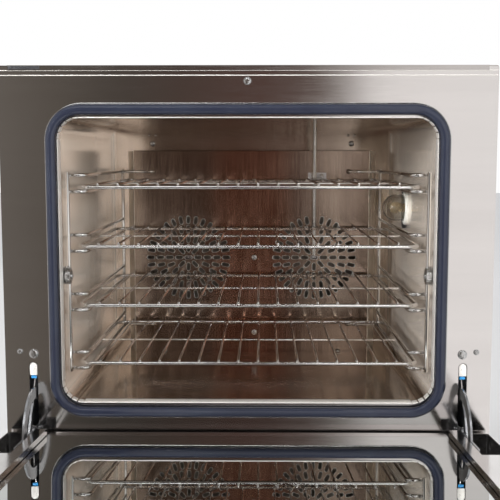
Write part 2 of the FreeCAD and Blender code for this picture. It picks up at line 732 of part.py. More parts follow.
def build_baffle():
    """Rear plate with two vents of slots in rings, swept-back flanges and a foot."""
    body = new_body("baffle_body")
    half = "baffle_width / 2"
    wall, reach, spread = "baffle_wall", "baffle_flange_depth", "baffle_flange_spread"
    face = rear_of("baffle_depth")
    plan = sketch(body, "baffle_plan", "XY_Plane", (0, 0, BAFFLE_BOTTOM))
    outline(plan, [(f"-({half})", face), (half, face),
                   (f"{half} + {spread}", f"{face} + {reach}"),
                   (f"{half} + {spread} - {wall}", f"{face} + {reach}"),
                   (f"{half} - {wall}", f"{face} + {wall}"),
                   (f"-({half}) + {wall}", f"{face} + {wall}"),
                   (f"-({half}) - {spread} + {wall}", f"{face} + {reach}"),
                   (f"-({half}) - {spread}", f"{face} + {reach}")])
    pad(body, plan, f"{BAFFLE_TOP} - {BAFFLE_BOTTOM}")
    foot = sketch(body, "baffle_foot_plan", "XY_Plane", (0, 0, BAFFLE_BOTTOM))
    outline(foot, [(f"-({half}) + 3", f"{face} - baffle_foot"), (f"{half} - 3", f"{face} - baffle_foot"),
                   (f"{half} - 3", f"{face} + {wall}"), (f"-({half}) + 3", f"{face} + {wall}")])
    pad(body, foot, wall)
    hooks = sketch(body, "hook_holes", "XZ_Plane", (0, 0, f"-({face} - 3)"))
    for sign in (-1, 1):
        for height in ("rung_lowest", "rung_lowest + 3 * shelf_pitch + rung_pair_gap"):
            polygon(hooks, f"{sign} * hook_spread", height, "rack_wire / 2 + 1", COARSE)
    pocket(body, hooks, "6")
    for label, side in SIDES.items():
        centre = (f"{side} * fan_spacing / 2", "fan_height", f"-({face} - 3)")
        middle = sketch(body, f"vent_{label}_middle", "XZ_Plane", centre)
        radial_slot(middle, "0", 0)
        pocket(body, middle, "6")
        sector = sketch(body, f"vent_{label}_sector", "XZ_Plane", centre)
        for ring in range(1, VENT_RINGS + 1):
            for step in range(ring):
                radial_slot(sector, f"{ring} * vent_pitch", VENT_SECTOR * step / ring)
        first = pocket(body, sector, "6")
        pattern = body.newObject("PartDesign::PolarPattern", f"vent_{label}_rings")
        pattern.Originals = [first]
        pattern.Axis = (sector, ["N_Axis"])
        pattern.Angle = 360
        pattern.Occurrences = round(360 / VENT_SECTOR)
        body.Tip = pattern
        DOC.recompute()
    node("rear_baffle", body)


def build_heaters():
    """Round element behind each vent with its two leads and lead plate."""
    rings = []
    spread = 9
    for label, side in SIDES.items():
        x = f"{side} * fan_spacing / 2"
        turns = [(f"{x} + element_radius * {math.sin(math.radians(a)):.6f}", rear_of("element_depth"),
                  f"fan_height - element_radius * {math.cos(math.radians(a)):.6f}")
                 for a in range(ELEMENT_STEP // 2, 360, ELEMENT_STEP)]
        wires = [bent_tube(f"element_{label}_loop", turns, "0", "element_tube", closed=True, steps=0)]
        base = "fan_height - element_radius"
        for step in (-1, 1):
            wires.append(rod(f"element_{label}_lead_{step + 1}", "Y", "element_tube",
                             (f"{x} + {step} * {spread}", rear_of("element_depth"), base),
                             "cavity_depth - element_depth - 1", WIRE_SIDES))
        wires.append(slab(f"element_{label}_plate", (f"{x} - 20", f"{x} + 20"),
                          (rear_of("cavity_depth - 2"), rear_of("cavity_depth")),
                          (f"{base} - 9", f"{base} + 9")))
        rings.append(fuse(f"element_{label}", *wires))
    node("heating_elements", group("heating_element_pair", *rings))


def build_fans():
    """Fan wheels, their shafts and motors, and the plate that carries the motors."""
    bore = "shaft_radius + shaft_play"
    for label, side in SIDES.items():
        x = f"{side} * fan_spacing / 2"
        start = "motor_plate_depth + front_wall"
        case = rod(f"motor_{label}_case", "Y", "motor_radius", (x, rear_of(start), "fan_height"),
                   "motor_length", FINE)
        boss = rod(f"motor_{label}_boss", "Y", "motor_radius / 3",
                   (x, rear_of(f"{start} + motor_length - 1"), "fan_height"), "7", COARSE)
        hole = rod(f"motor_{label}_bore", "Y", bore, (x, rear_of(f"{start} - 1"), "fan_height"),
                   "motor_length - 7")
        node(f"fan_motor_{label}", cut(f"motor_{label}", fuse(f"motor_{label}_body", case, boss), hole))
        spindle = rod(f"fan_spindle_{label}", "Y", "shaft_radius",
                      (x, rear_of("wheel_front - 8"), "fan_height"),
                      f"{start} + motor_length - 12 - wheel_front + 8")
        nut = rod(f"fan_nut_{label}", "Y", "shaft_radius * 1.8",
                  (x, rear_of("wheel_front - 5.5"), "fan_height"), "5.5", 6)
        node(f"fan_shaft_{label}", fuse(f"fan_shaft_solid_{label}", spindle, nut))
        wheel = new_body(f"wheel_{label}")
        disc = sketch(wheel, f"wheel_{label}_disc", "XY_Plane", (0, 0, "wheel_depth - 1.5"))
        circle(disc, "0", "0", "wheel_radius")
        circle(disc, "0", "0", "shaft_radius")
        pad(wheel, disc, "1.5")
        hub = sketch(wheel, f"wheel_{label}_hub", "XY_Plane")
        circle(hub, "0", "0", "shaft_radius * 3")
        circle(hub, "0", "0", "shaft_radius")
        pad(wheel, hub, "wheel_depth")
        blade = sketch(wheel, f"wheel_{label}_blade", "XY_Plane")
        outline(blade, [("wheel_radius * 0.62", "-1"), ("wheel_radius - 1", f"{side} * 9 - 1"),
                        ("wheel_radius - 1", f"{side} * 9 + 0.6"), ("wheel_radius * 0.62", "0.6")])
        first = pad(wheel, blade, "wheel_depth - 1")
        blades = wheel.newObject("PartDesign::PolarPattern", f"wheel_{label}_blades")
        blades.Originals = [first]
        blades.Axis = (blade, ["N_Axis"])
        blades.Angle = 360
        blades.Occurrences = 10
        wheel.Tip = blades
        wheel.Placement = FreeCAD.Placement(FreeCAD.Vector(), FreeCAD.Rotation(X_AXIS, -90))
        node(f"fan_wheel_{label}", put(wheel, x, rear_of("wheel_front"), "fan_height"))
    half = "body_width * 0.35"
    plate = slab("motor_plate_slab", (f"-({half})", half),
                 (rear_of("motor_plate_depth"), rear_of("motor_plate_depth + front_wall")),
                 (BASE_TOP, "fan_height + 130"))
    holes = [rod(f"motor_hole_{label}", "Y", "shaft_radius * 2.2",
                 (f"{side} * fan_spacing / 2", rear_of("motor_plate_depth - 5"), "fan_height"), "12", COARSE)
             for label, side in SIDES.items()]
    node("motor_plate", cut("motor_plate_cut", plate, *holes))


# Racks and shelves
def build_racks():
    """Wire rack at each side: two uprights, eight rungs in pairs and two rear hooks."""
    wire = "rack_wire / 2"
    lowest = "rung_lowest - rack_overhang"
    height = "3 * shelf_pitch + rung_pair_gap + 2 * rack_overhang"
    for label, side in SIDES.items():
        upright_x, run_x = f"{side} * rack_upright_x", f"{side} * rung_x"
        wires = [rod(f"rack_{label}_front", "Z", wire, (upright_x, rear_of("rack_front"), lowest), height,
                     WIRE_SIDES),
                 rod(f"rack_{label}_rear", "Z", wire, (run_x, rear_of("rack_rear"), lowest), height,
                     WIRE_SIDES)]
        for level in range(4):
            for pair in range(2):
                z = f"rung_lowest + {level} * shelf_pitch + {pair} * rung_pair_gap"
                depth = rear_of("rack_front + rack_wire")
                route = [(f"{upright_x} + {side} * {wire}", depth, z), (run_x, depth, z),
                         (run_x, rear_of(f"rack_rear - {wire}"), z)]
                wires.append(bent_tube(f"rung_{label}_{level}_{pair}", route, "rung_bend", wire))
        for tag, z in (("low", "rung_lowest"), ("high", "rung_lowest + 3 * shelf_pitch + rung_pair_gap")):
            depth = rear_of("rack_rear + rack_wire")
            route = [(f"{run_x} + {side} * {wire}", depth, z), (f"{side} * hook_spread", depth, z),
                     (f"{side} * hook_spread", rear_of("baffle_depth + baffle_wall + 8"), z)]
            wires.append(bent_tube(f"hook_{label}_{tag}", route, "rack_wire", wire))
        wires.append(build_rack_tab(label, side, wire))
        node(f"side_rack_{label}", group(f"side_rack_{label}_wires", *wires))


def build_rack_tab(label, side, wire):
    """Bent lug that joins the front upright to the stud in the cavity wall."""
    wall_x = f"{CAVITY_X} - seat_gap"
    inner = f"{wall_x} - front_wall"
    span = ("stud_height - nut_radius", "stud_height + nut_radius")
    flat = slab(f"tab_{label}_flat", mirrored(side, inner, wall_x),
                (rear_of("stud_depth - nut_radius + 2"), rear_of("rack_front + rack_wire / 2")), span)
    turned = slab(f"tab_{label}_turned", mirrored(side, f"rack_upright_x + {wire}", wall_x),
                  (rear_of("rack_front - front_wall / 2"), rear_of("rack_front + front_wall")), span)
    hole = rod(f"tab_{label}_hole", "X", "stud_radius + 0.4",
               (f"{side} * ({inner}) - 5", rear_of("stud_depth"), "stud_height"), "10", COARSE)
    return cut(f"tab_{label}", fuse(f"tab_{label}_bent", flat, turned), hole)


def build_fixings():
    """Thumb nuts of the racks and the studs in the cavity walls."""
    nuts, studs = [], []
    for label, side in SIDES.items():
        wall = f"({CAVITY_X} - seat_gap - front_wall)"
        inner, outer = mirrored(side, f"{wall} - nut_length - 0.1", f"{wall} - 0.1")
        body = rod(f"nut_{label}_body", "X", "nut_radius", (inner, rear_of("stud_depth"), "stud_height"),
                   "nut_length", FINE)
        bore = rod(f"nut_{label}_bore", "X", "stud_radius + 0.02",
                   (f"{inner} - 1", rear_of("stud_depth"), "stud_height"), "nut_length + 2", COARSE)
        nuts.append(cut(f"nut_{label}", body, bore))
        low, high = mirrored(side, f"{wall} - nut_length - 2", f"{CAVITY_X} + sheet_wall + 4")
        thread = rod(f"stud_{label}_thread", "X", "stud_radius", (low, rear_of("stud_depth"), "stud_height"),
                     f"({high}) - ({low})", COARSE)
        low, high = mirrored(side, f"{CAVITY_X} + sheet_wall", f"{CAVITY_X} + sheet_wall + 3")
        head = rod(f"stud_{label}_head", "X", "stud_radius * 2",
                   (low, rear_of("stud_depth"), "stud_height"), "3", 6)
        studs.append(fuse(f"stud_{label}", thread, head))
    node("rack_thumb_nuts", group("thumb_nut_pair", *nuts))
    node("rack_studs", group("rack_stud_pair", *studs))


def build_shelves():
    """Four shelves of a round frame, sixteen wires on it and a bar under them."""
    frame, grid = "shelf_wire / 2", "grid_wire / 2"
    count = int(number("grid_count"))
    half = "(shelf_width - shelf_wire) / 2"
    for index, name in enumerate(SHELF_NAMES):
        z = f"rung_lowest + {3 - index} * shelf_pitch + rack_wire / 2 + seat_gap + {frame}"
        front, rear = rear_of("shelf_front"), rear_of("shelf_front + shelf_length")
        loop = [(f"-{half}", front, z), (half, front, z), (half, rear, z), (f"-{half}", rear, z)]
        wires = [bent_tube(f"{name}_frame", loop, "shelf_corner", frame, COARSE, closed=True)]
        for wire in range(count):
            x = f"({wire} - (grid_count - 1) / 2) * grid_pitch"
            wires.append(rod(f"{name}_wire_{wire + 1}", "Y", grid,
                             (x, f"{front} - {frame} - grid_overhang + 1", f"{z} + {frame} + {grid}"),
                             "shelf_length + shelf_wire + 2 * (grid_overhang - 1)", WIRE_SIDES))
        wires.append(rod(f"{name}_crossbar", "X", grid,
                         (f"-{half} + {frame}", f"({front} + ({rear})) / 2", f"{z} + {frame} - {grid}"),
                         f"2 * {half} - shelf_wire", WIRE_SIDES))
        node(name, group(f"{name}_wires", *wires))


# Steam supply, lamp and fixings in the cavity
def build_tube():
    """Steam tube from the valve over the cavity and down in front of the baffle."""
    x, depth = "tube_x", rear_of("tube_depth")
    tube = bent_tube("steam_tube", [
        (x, depth, "tube_end"), (x, depth, "tube_top"), ("tube_drop_x", depth, "tube_top"),
        ("tube_drop_x", rear_of("tube_drop_depth"), "tube_top"),
        ("tube_drop_x", rear_of("tube_drop_depth"), "inlet_height + 26")],
        "tube_bend", "tube_radius", COARSE, steps=2)
    mouth = rod("steam_mouth", "Z", "tube_radius - 0.8", (x, depth, "tube_end - 1"), "21", COARSE)
    node("humidity_tube", cut("steam_tube_open", tube, mouth))
    plate = slab("clamp_plate", (f"{x} - 10", f"{x} + 19"),
                 (rear_of("baffle_depth - front_wall"), rear_of("baffle_depth")),
                 ("clamp_height - 6.5", "clamp_height + 6.5"))
    saddle = rod("clamp_saddle", "Z", "tube_radius + 1.4", (x, depth, "clamp_height - 6.5"), "13", COARSE)
    web = slab("clamp_web", (f"{x} - 3", f"{x} + 3"), (depth, rear_of("baffle_depth")),
               ("clamp_height - 6.5", "clamp_height + 6.5"))
    bore = rod("clamp_bore", "Z", "tube_radius + 0.05", (x, depth, "clamp_height - 8"), "16", COARSE)
    node("tube_clamp", cut("clamp_bored", fuse("clamp_solid", plate, saddle, web), bore))


def build_valve():
    """Water valve with its inlet spigot, and the steam outlet."""
    x = "tube_drop_x"
    block = slab("valve_block", (f"{x} - 15", f"{x} + 15"),
                 (rear_of("tube_drop_depth - 18"), rear_of("tube_drop_depth + 18")),
                 (BASE_TOP, "inlet_height + 18"))
    collar = rod("valve_collar", "Z", "tube_radius * 2",
                 (x, rear_of("tube_drop_depth"), "inlet_height + 18"), "8", 6)
    neck = rod("valve_neck", "Y", "inlet_radius - 0.7", (x, rear_of("tube_drop_depth + 17"), "inlet_height"),
               "body_depth - tube_drop_depth - 16", FINE)
    nipple = rod("valve_nipple", "Y", "inlet_radius", (x, rear_of("body_depth"), "inlet_height"),
                 "inlet_reach")
    bore = rod("valve_bore", "Y", "inlet_radius - 4", (x, rear_of("tube_drop_depth + 20"), "inlet_height"),
               "body_depth - tube_drop_depth - 20 + inlet_reach + 1", FINE)
    node("water_valve", cut("valve_bored", fuse("valve_solid", block, collar, neck, nipple), bore))
    z = "outlet_height"
    duct = rod("outlet_duct", "Y", "outlet_radius - 0.4", ("0", rear_of("cavity_depth + sheet_wall"), z),
               "body_depth - cavity_depth - sheet_wall + 1", FINE)
    spigot = rod("outlet_spigot", "Y", "outlet_radius", ("0", rear_of("body_depth"), z), "outlet_reach")
    hollow = rod("outlet_hollow", "Y", "outlet_radius - 1.6", ("0", rear_of("cavity_depth"), z),
                 "body_depth - cavity_depth + outlet_reach + 2", FINE)
    node("steam_outlet", cut("outlet_tube", fuse("outlet_solid", duct, spigot), hollow))


def build_lamp():
    """Lamp ring, glass dome, holder and bulb in the right-hand wall."""
    y, z = rear_of("lamp_depth"), "lamp_height"
    wall = CAVITY_X
    ring = rod("lamp_ring_disc", "X", "lamp_radius + lamp_ring_width", (f"{wall} - lamp_ring_height", y, z),
               "lamp_ring_height", FINE)
    hole = rod("lamp_ring_hole", "X", "lamp_radius + 0.3", (f"{wall} - 10", y, z), "20")
    node("lamp_ring", cut("lamp_ring_cut", ring, hole))
    barrel = rod("dome_barrel", "X", "lamp_radius", (f"{wall} - lamp_reach + lamp_radius", y, z),
                 "lamp_reach - lamp_radius")
    ball = DOC.addObject("Part::Sphere", "dome_ball")
    ball.setExpression("Radius", bound("lamp_radius"))
    put(ball, f"{wall} - lamp_reach + lamp_radius", y, z)
    room = rod("dome_room", "X", "lamp_radius * 0.72", (f"{wall} - lamp_reach + 7", y, z), "lamp_reach",
               FINE)
    trimmed = slab("dome_trim", (wall, f"{wall} + 40"), (f"{y} - 40", f"{y} + 40"),
                   (f"{z} - 40", f"{z} + 40"))
    node("lamp_glass", cut("dome_shell", fuse("dome_solid", barrel, ball), room, trimmed))
    start = f"{wall} + sheet_wall"
    case = rod("holder_case", "X", "lamp_radius - 1", (start, y, z), "24", FINE)
    neck = rod("holder_neck", "X", "10", (f"{start} + 20", y, z), "22", COARSE)
    bore = rod("holder_bore", "X", "7.2", (f"{start} - 1", y, z), "14", COARSE)
    node("lamp_holder", cut("holder_bored", fuse("holder_solid", case, neck), bore))
    base = rod("bulb_base", "X", "7", (f"{wall} - 9", y, z), "22", COARSE)
    envelope = rod("bulb_envelope", "X", "9", (f"{wall} - 25", y, z), "17", FINE)
    node("lamp_bulb", fuse("bulb", base, envelope))


def pan_head(name, axis, place, radius="pan_head_radius"):
    """Screw head, its seat at the given place."""
    return rod(name, axis, radius, place, "pan_head_height", SCREW_SIDES)


def build_screws():
    """Screw heads of the cavity and of the front frame."""
    face = rear_of("baffle_depth - pan_head_height")
    heads = [pan_head(f"baffle_screw_{index}", "Y",
                      ("5", face, f"fan_height + {index - 1} * 122.5")) for index in range(3)]
    heads.append(pan_head("clamp_screw", "Y", ("tube_x + 11", f"{face} - front_wall", "clamp_height")))
    for label, side in SIDES.items():
        heads.append(pan_head(f"rear_screw_{label}", "Y",
                              (f"{side} * (baffle_width / 2 - 20)",
                               rear_of("cavity_depth - pan_head_height"), f"{BAFFLE_TOP} + 13")))
        heads.append(pan_head(f"foot_screw_{label}", "Z",
                              (f"{side} * (hook_spread - 15)", rear_of("baffle_depth - baffle_foot / 2"),
                               f"{BAFFLE_BOTTOM} + baffle_wall")))
    node("cavity_screws", group("cavity_screw_set", *heads))
    front = rear_of("-pan_head_height")
    heads = [pan_head("frame_screw_top", "Y", ("0", front, "body_height - 18.5"))]
    for label, side in SIDES.items():
        heads.append(pan_head(f"frame_screw_{label}", "Y",
                              (f"{side} * (slot_x - 1)", front,
                               "hinge_slot_bottom + hinge_slot_height + 11"),
                              "frame_head_radius"))
        heads.append(pan_head(f"edge_screw_{label}", "Y",
                              (f"{side} * (slot_x + 16)", front,
                               "hinge_slot_bottom + hinge_slot_height + 14"),
                              "frame_head_radius * 0.6"))
    node("frame_screws", group("frame_screw_set", *heads))


# Controls and services
def build_controls():
    """Control panel with thermostat, timer, buttons and pilot lamps."""
    body = new_body("panel_body")
    face = sketch(body, "panel_face", "XZ_Plane", (0, 0, f"-({rear_of('0')})"))
    side = "body_width / 2"
    outline(face, [(f"-({side})", "panel_bottom"), (side, "panel_bottom"), (side, PANEL_TOP),
                   (f"-({side})", PANEL_TOP)])
    pad(body, face, "front_wall", backwards=True)
    outer = "body_width / 2 - sheet_wall - seat_gap"
    low = "foot_height + base_rim + 1"
    folds = [slab(f"panel_fold_{label}", mirrored(side, f"{outer} - front_wall", outer),
                  (rear_of("front_wall / 2"), rear_of("frame_return")), (low, PANEL_TOP))
             for label, side in SIDES.items()]
    holes = []
    for x, radius in (("knob_spacing / 2", "spindle_radius + 2"), ("button_x", "button_radius + 1.4"),
                      ("pilot_x", "5.6")):
        for sign in (-1, 1):
            holes.append(rod(f"panel_hole_{len(holes)}", "Y", radius,
                             (f"{sign} * {x}", rear_of("-1"), "control_height"), "4", COARSE))
    node("control_panel", cut("panel_pierced", fuse("panel_folded", body, *folds), *holes))
    spindle_start = rear_of("-knob_height + 5")
    rear = "front_wall"
    block = slab("thermostat_block", ("knob_spacing / 2 - 18", "knob_spacing / 2 + 18"),
                 (rear_of(rear), rear_of("30")), ("control_height - 18", "control_height + 18"))
    stem = rod("thermostat_stem", "Y", "spindle_radius",
               ("knob_spacing / 2", spindle_start, "control_height"), "knob_height + 5")
    node("thermostat", fuse("thermostat_solid", block, stem))
    drum = rod("timer_drum", "Y", "19", ("-knob_spacing / 2", rear_of(rear), "control_height"), "34", FINE)
    stem = rod("timer_stem", "Y", "spindle_radius", ("-knob_spacing / 2", spindle_start, "control_height"),
               "knob_height + 5")
    node("timer_unit", fuse("timer_solid", drum, stem))
    for name, sign in (("temperature_knob", 1), ("timer_knob", -1)):
        build_knob(name, sign)
    barrels, lenses = [], []
    for label, side in SIDES.items():
        x = f"{side} * button_x"
        case = rod(f"barrel_{label}_case", "Y", "button_radius + 4", (x, rear_of(rear), "control_height"),
                   "20", COARSE)
        lip = rod(f"barrel_{label}_lip", "Y", "button_radius + 3", (x, rear_of("-2"), "control_height"),
                  "2", FINE)
        sleeve = rod(f"barrel_{label}_sleeve", "Y", "button_radius + 1.1",
                     (x, rear_of("-1"), "control_height"), "8", COARSE)
        bore = rod(f"barrel_{label}_bore", "Y", "button_radius + shaft_play",
                   (x, rear_of("-3"), "control_height"), "19")
        barrels.append(cut(f"barrel_{label}", fuse(f"barrel_{label}_solid", case, lip, sleeve), bore))
        button = rod(f"button_{label}_body", "Y", "button_radius", (x, rear_of("-6"), "control_height"),
                     "18")
        node("steam_button" if side > 0 else "light_button", button)
        x = f"{side} * pilot_x"
        lens = rod(f"pilot_{label}_lens", "Y", "5", (x, rear_of("-1"), "control_height"), "22", COARSE)
        flange = rod(f"pilot_{label}_flange", "Y", "6.5", (x, rear_of("-2.2"), "control_height"), "2.2",
                     SCREW_SIDES)
        lenses.append(fuse(f"pilot_{label}", lens, flange))
    node("button_barrels", group("button_barrel_pair", *barrels))
    node("pilot_lamps", group("pilot_lamp_pair", *lenses))


def build_knob(name, side):
    """Turning knob: a round skirt and a waisted grip on a spindle socket."""
    body = new_body(name + "_body")
    skirt = sketch(body, name + "_skirt", "XZ_Plane", (0, 0, f"-({rear_of('-1')})"))
    circle(skirt, f"{side} * knob_spacing / 2", "control_height", "knob_radius")
    pad(body, skirt, "4")
    grip = sketch(body, name + "_grip", "XZ_Plane", (0, 0, f"-({rear_of('-4')})"))
    x, reach = f"({side} * knob_spacing / 2)", "(knob_radius - 1.5)"
    outline(grip, [(f"{x} - 4", f"control_height - {reach} + 3"), (f"{x}", f"control_height - {reach}"),
                   (f"{x} + 4", f"control_height - {reach} + 3"), (f"{x} + 6.5", "control_height"),
                   (f"{x} + 4", f"control_height + {reach} - 3"), (f"{x}", f"control_height + {reach}"),
                   (f"{x} - 4", f"control_height + {reach} - 3"), (f"{x} - 6.5", "control_height")])
    pad(body, grip, "knob_height - 4")
    socket = sketch(body, name + "_socket", "XZ_Plane", (0, 0, f"-({rear_of('-0.5')})"))
    circle(socket, f"{side} * knob_spacing / 2", "control_height", "spindle_radius + shaft_play")
    pocket(body, socket, "knob_height - 4", backwards=True)
    node(name, body)


def build_services():
    """Terminal block and cable gland."""
    node("terminal_block", group("terminal_set", slab(
        "terminal_body", ("-body_width / 2 + 50", "-body_width / 2 + 120"),
        (rear_of("body_depth - 55"), rear_of("body_depth - 33")), (BASE_TOP, f"{BASE_TOP} + 24"))))
    x, z = "-gland_x", "gland_height"
    barrel = rod("gland_barrel", "Y", "gland_radius", (x, rear_of("body_depth - 10"), z),
                 "10 + gland_reach", FINE)
    nut = rod("gland_nut", "Y", "gland_radius * 1.3", (x, rear_of("body_depth"), z), "6", 6)
    locknut = rod("gland_locknut", "Y", "gland_radius * 1.3",
                  (x, rear_of("body_depth - sheet_wall - 5"), z), "5", 6)
    bore = rod("gland_through", "Y", "gland_bore", (x, rear_of("body_depth - 12"), z), "14 + gland_reach")
    node("cable_gland", cut("gland_bored", fuse("gland_solid", barrel, nut, locknut), bore))


# Hinges and door
def build_receivers():
    """Hinge channel behind each slot, with a nose plate and the hinge pin."""
    axis = rear_of(HINGE_DEPTH)
    for label, side in SIDES.items():
        low, high = "slot_x - 9", "slot_x + 9"
        outer = slab(f"receiver_{label}_outer", mirrored(side, low, high),
                     (rear_of("front_wall"), rear_of(RECEIVER_DEPTH)),
                     ("hinge_height - 36", "hinge_height + 94"))
        inner = slab(f"receiver_{label}_inner", mirrored(side, f"{low} + 1.5", f"{high} - 1.5"),
                     (rear_of("0"), rear_of(f"{RECEIVER_DEPTH} - 1.5")),
                     ("hinge_height - 34.5", "hinge_height + 92.5"))
        channel = cut(f"receiver_{label}_channel", outer, inner)
        plate = new_body(f"nose_{label}")
        profile = sketch(plate, f"nose_{label}_profile", "YZ_Plane",
                         (axis, "hinge_height", f"{side} * (slot_x + 1.5 + arm_wall / 2)"))
        outline(profile, [("44", "11"), ("44", "35"), ("15", "35"), ("4", "22"), ("-8", "2"), ("-7", "-3"),
                          ("0", "-7.5"), ("7", "-3.5"), ("10", "10"), ("14", "11")])
        pad(plate, profile, "arm_wall", midplane=True)
        spacer = slab(f"nose_{label}_spacer", mirrored(side, "slot_x + 1.5 + arm_wall / 2", f"{high} - 1"),
                      (rear_of("20"), rear_of("30")), ("hinge_height + 11", "hinge_height + 35"))
        ear = rod(f"nose_{label}_ear", "X", "nose_radius",
                  (f"{side} * (slot_x + 1.5 + arm_wall / 2) - arm_wall / 2", axis, "hinge_height"),
                  "arm_wall")
        pin_low, pin_high = mirrored(side, "slot_x - 6.5", "slot_x + 5.5")
        pin = rod(f"hinge_pin_{label}", "X", "pin_radius", (pin_low, axis, "hinge_height"),
                  f"({pin_high}) - ({pin_low})")
        node(f"hinge_receiver_{label}", fuse(f"receiver_{label}", channel, plate, spacer, ear, pin))


def build_arms():
    """Hinge arm in each side of the door: hub, leg, foot and arc."""
    for label, side in SIDES.items():
        x = f"({side} * (slot_x - 2.25))"
        low = f"{x} - arm_wall / 2"
        hub = rod(f"arm_{label}_hub", "X", "hub_radius", (low, "0", "0"), "arm_wall")
        leg = slab(f"arm_{label}_leg", (low, f"{low} + arm_wall"), ("-6", "6"), ("0", "96"))
        lug = slab(f"arm_{label}_lug", (low, f"{low} + arm_wall"),
                   ("-door_face + sheet_wall", "0"), ("62", "96"))
        foot_x = mirrored(side, "slot_x - 2.25 - arm_wall / 2", "slot_x + 18")
        foot = slab(f"arm_{label}_foot", foot_x,
                    ("-door_face + sheet_wall", "-door_face + sheet_wall + arm_wall"), ("62", "96"))
        sector = rod(f"arm_{label}_sector", "X", "arm_radius", (low, "0", "0"), "arm_wall")
        sector.setExpression("Angle", bound("arm_sweep"))
        start = FreeCAD.Rotation(X_AXIS, 90 - 26).multiply(FreeCAD.Rotation(Y_AXIS, 90))
        sector.Placement = FreeCAD.Placement(FreeCAD.Vector(), start)
        put(sector, low, "0", "0")
        core = rod(f"arm_{label}_core", "X", "arm_radius - arm_band", (f"{low} - 1", "0", "0"),
                   "arm_wall + 2")
        band = cut(f"arm_{label}_band", sector, core)
        bore = rod(f"arm_{label}_bore", "X", "pin_radius + shaft_play", (f"{low} - 5", "0", "0"),
                   "arm_wall + 10")
        solid = fuse(f"arm_{label}_solid", hub, leg, lug, foot, band)
        node(f"hinge_arm_{label}", hang(cut(f"arm_{label}", solid, bore)))


def build_door():
    """Door shell, both panes, bumpers, rails and handle."""
    shell = new_body("door_shell_body")
    face = "-door_face"
    front = sketch(shell, "shell_front", "XZ_Plane", (0, 0, "door_face"))
    rounded(front, ("-door_width / 2", "door_width / 2"), ("-door_foot", "door_top"), "4")
    pad(shell, front, "door_face + door_inner - 0.7", backwards=True)
    room = sketch(shell, "shell_room", "XZ_Plane", (0, 0, "door_face - sheet_wall"))
    rounded(room, ("-door_width / 2 + sheet_wall", "door_width / 2 - sheet_wall"),
            ("-door_foot + sheet_wall", "door_top - sheet_wall"), "3")
    pocket(shell, room, "door_face + 10")
    window = sketch(shell, "shell_window", "XZ_Plane", (0, 0, "door_face + 1"))
    rounded(window, ("-window_width / 2", "window_width / 2"), ("window_bottom", "window_top"), "18")
    pocket(shell, window, "sheet_wall + 2")
    notches = sketch(shell, "shell_notches", "XZ_Plane", (0, 0, "nose_radius + 5"))
    for sign in (-1, 1):
        centre = f"{sign} * slot_x"
        outline(notches, [(f"{centre} - 10", "-door_foot - 1"), (f"{centre} + 10", "-door_foot - 1"),
                          (f"{centre} + 10", "-door_foot + 3"), (f"{centre} - 10", "-door_foot + 3")])
    pocket(shell, notches, "nose_radius + 10")
    node("door_shell", hang(shell))
    outer = slab("outer_pane", ("-window_width / 2 - window_lap", "window_width / 2 + window_lap"),
                 (f"{face} + sheet_wall", f"{face} + sheet_wall + glass_wall"),
                 ("window_bottom - window_lap", "window_top + window_lap"))
    node("door_outer_glass", hang(group("outer_pane_set", outer)))
    inner = slab("inner_pane", ("-glass_width / 2", "glass_width / 2"),
                 ("door_inner - glass_wall", "door_inner"), ("glass_bottom", "glass_top"))
    node("door_inner_glass", hang(group("inner_pane_set", inner)))
    bumpers = []
    for x in ("-window_width / 2 - 4", "window_width / 2 + 4"):
        for z in ("window_bottom + 30", "window_top - 30"):
            bumpers.append(rod(f"bumper_{len(bumpers) + 1}", "Y", "4",
                               (x, f"{face} + sheet_wall + glass_wall", z),
                               "door_face + door_inner - sheet_wall - 2 * glass_wall", COARSE))
    node("glass_spacers", hang(group("spacer_set", *bumpers)))
    for label, side in SIDES.items():
        build_door_rail(label, side)
    build_cross_rails()
    build_handle()


def build_door_rail(label, side):
    """Folded side rail: a ledge under the inner glass, a raised rib and a strip out to the door's edge."""
    body = new_body(f"door_rail_{label}_body")
    profile = sketch(body, f"door_rail_{label}_profile", "XY_Plane", (0, 0, "glass_bottom"))
    wall = "sheet_wall"
    ledge = "door_inner - glass_wall"
    edge = f"door_width / 2 - {wall} - 0.2"
    rise = "door_inner + rail_rise"
    outer = "rail_x + rail_width"
    points = [("rail_x - 9", f"{ledge} - {wall}"),
              (f"rail_x + {wall}", f"{ledge} - {wall}"),
              (f"rail_x + {wall}", f"{rise} - {wall}"),
              (f"{outer} - {wall}", f"{rise} - {wall}"),
              (f"{outer} - {wall}", f"door_inner - {wall}"),
              (edge, f"door_inner - {wall}"),
              (edge, "door_inner"),
              (outer, "door_inner"),
              (outer, rise),
              ("rail_x", rise),
              ("rail_x", ledge),
              ("rail_x - 9", ledge)]
    outline(profile, [(f"{side} * ({x})", y) for x, y in points])
    pad(body, profile, "glass_top - glass_bottom")
    space = sketch(body, f"door_rail_{label}_pocket", "XZ_Plane", (0, 0, "-10"))
    low, high = mirrored(side, "rail_x + rail_width + 0.05", "door_width / 2 + 2")
    outline(space, [(low, "0"), (high, "0"), (high, "104"), (low, "104")])
    pocket(body, space, "20", backwards=True)
    node(f"door_rail_{label}", hang(body))


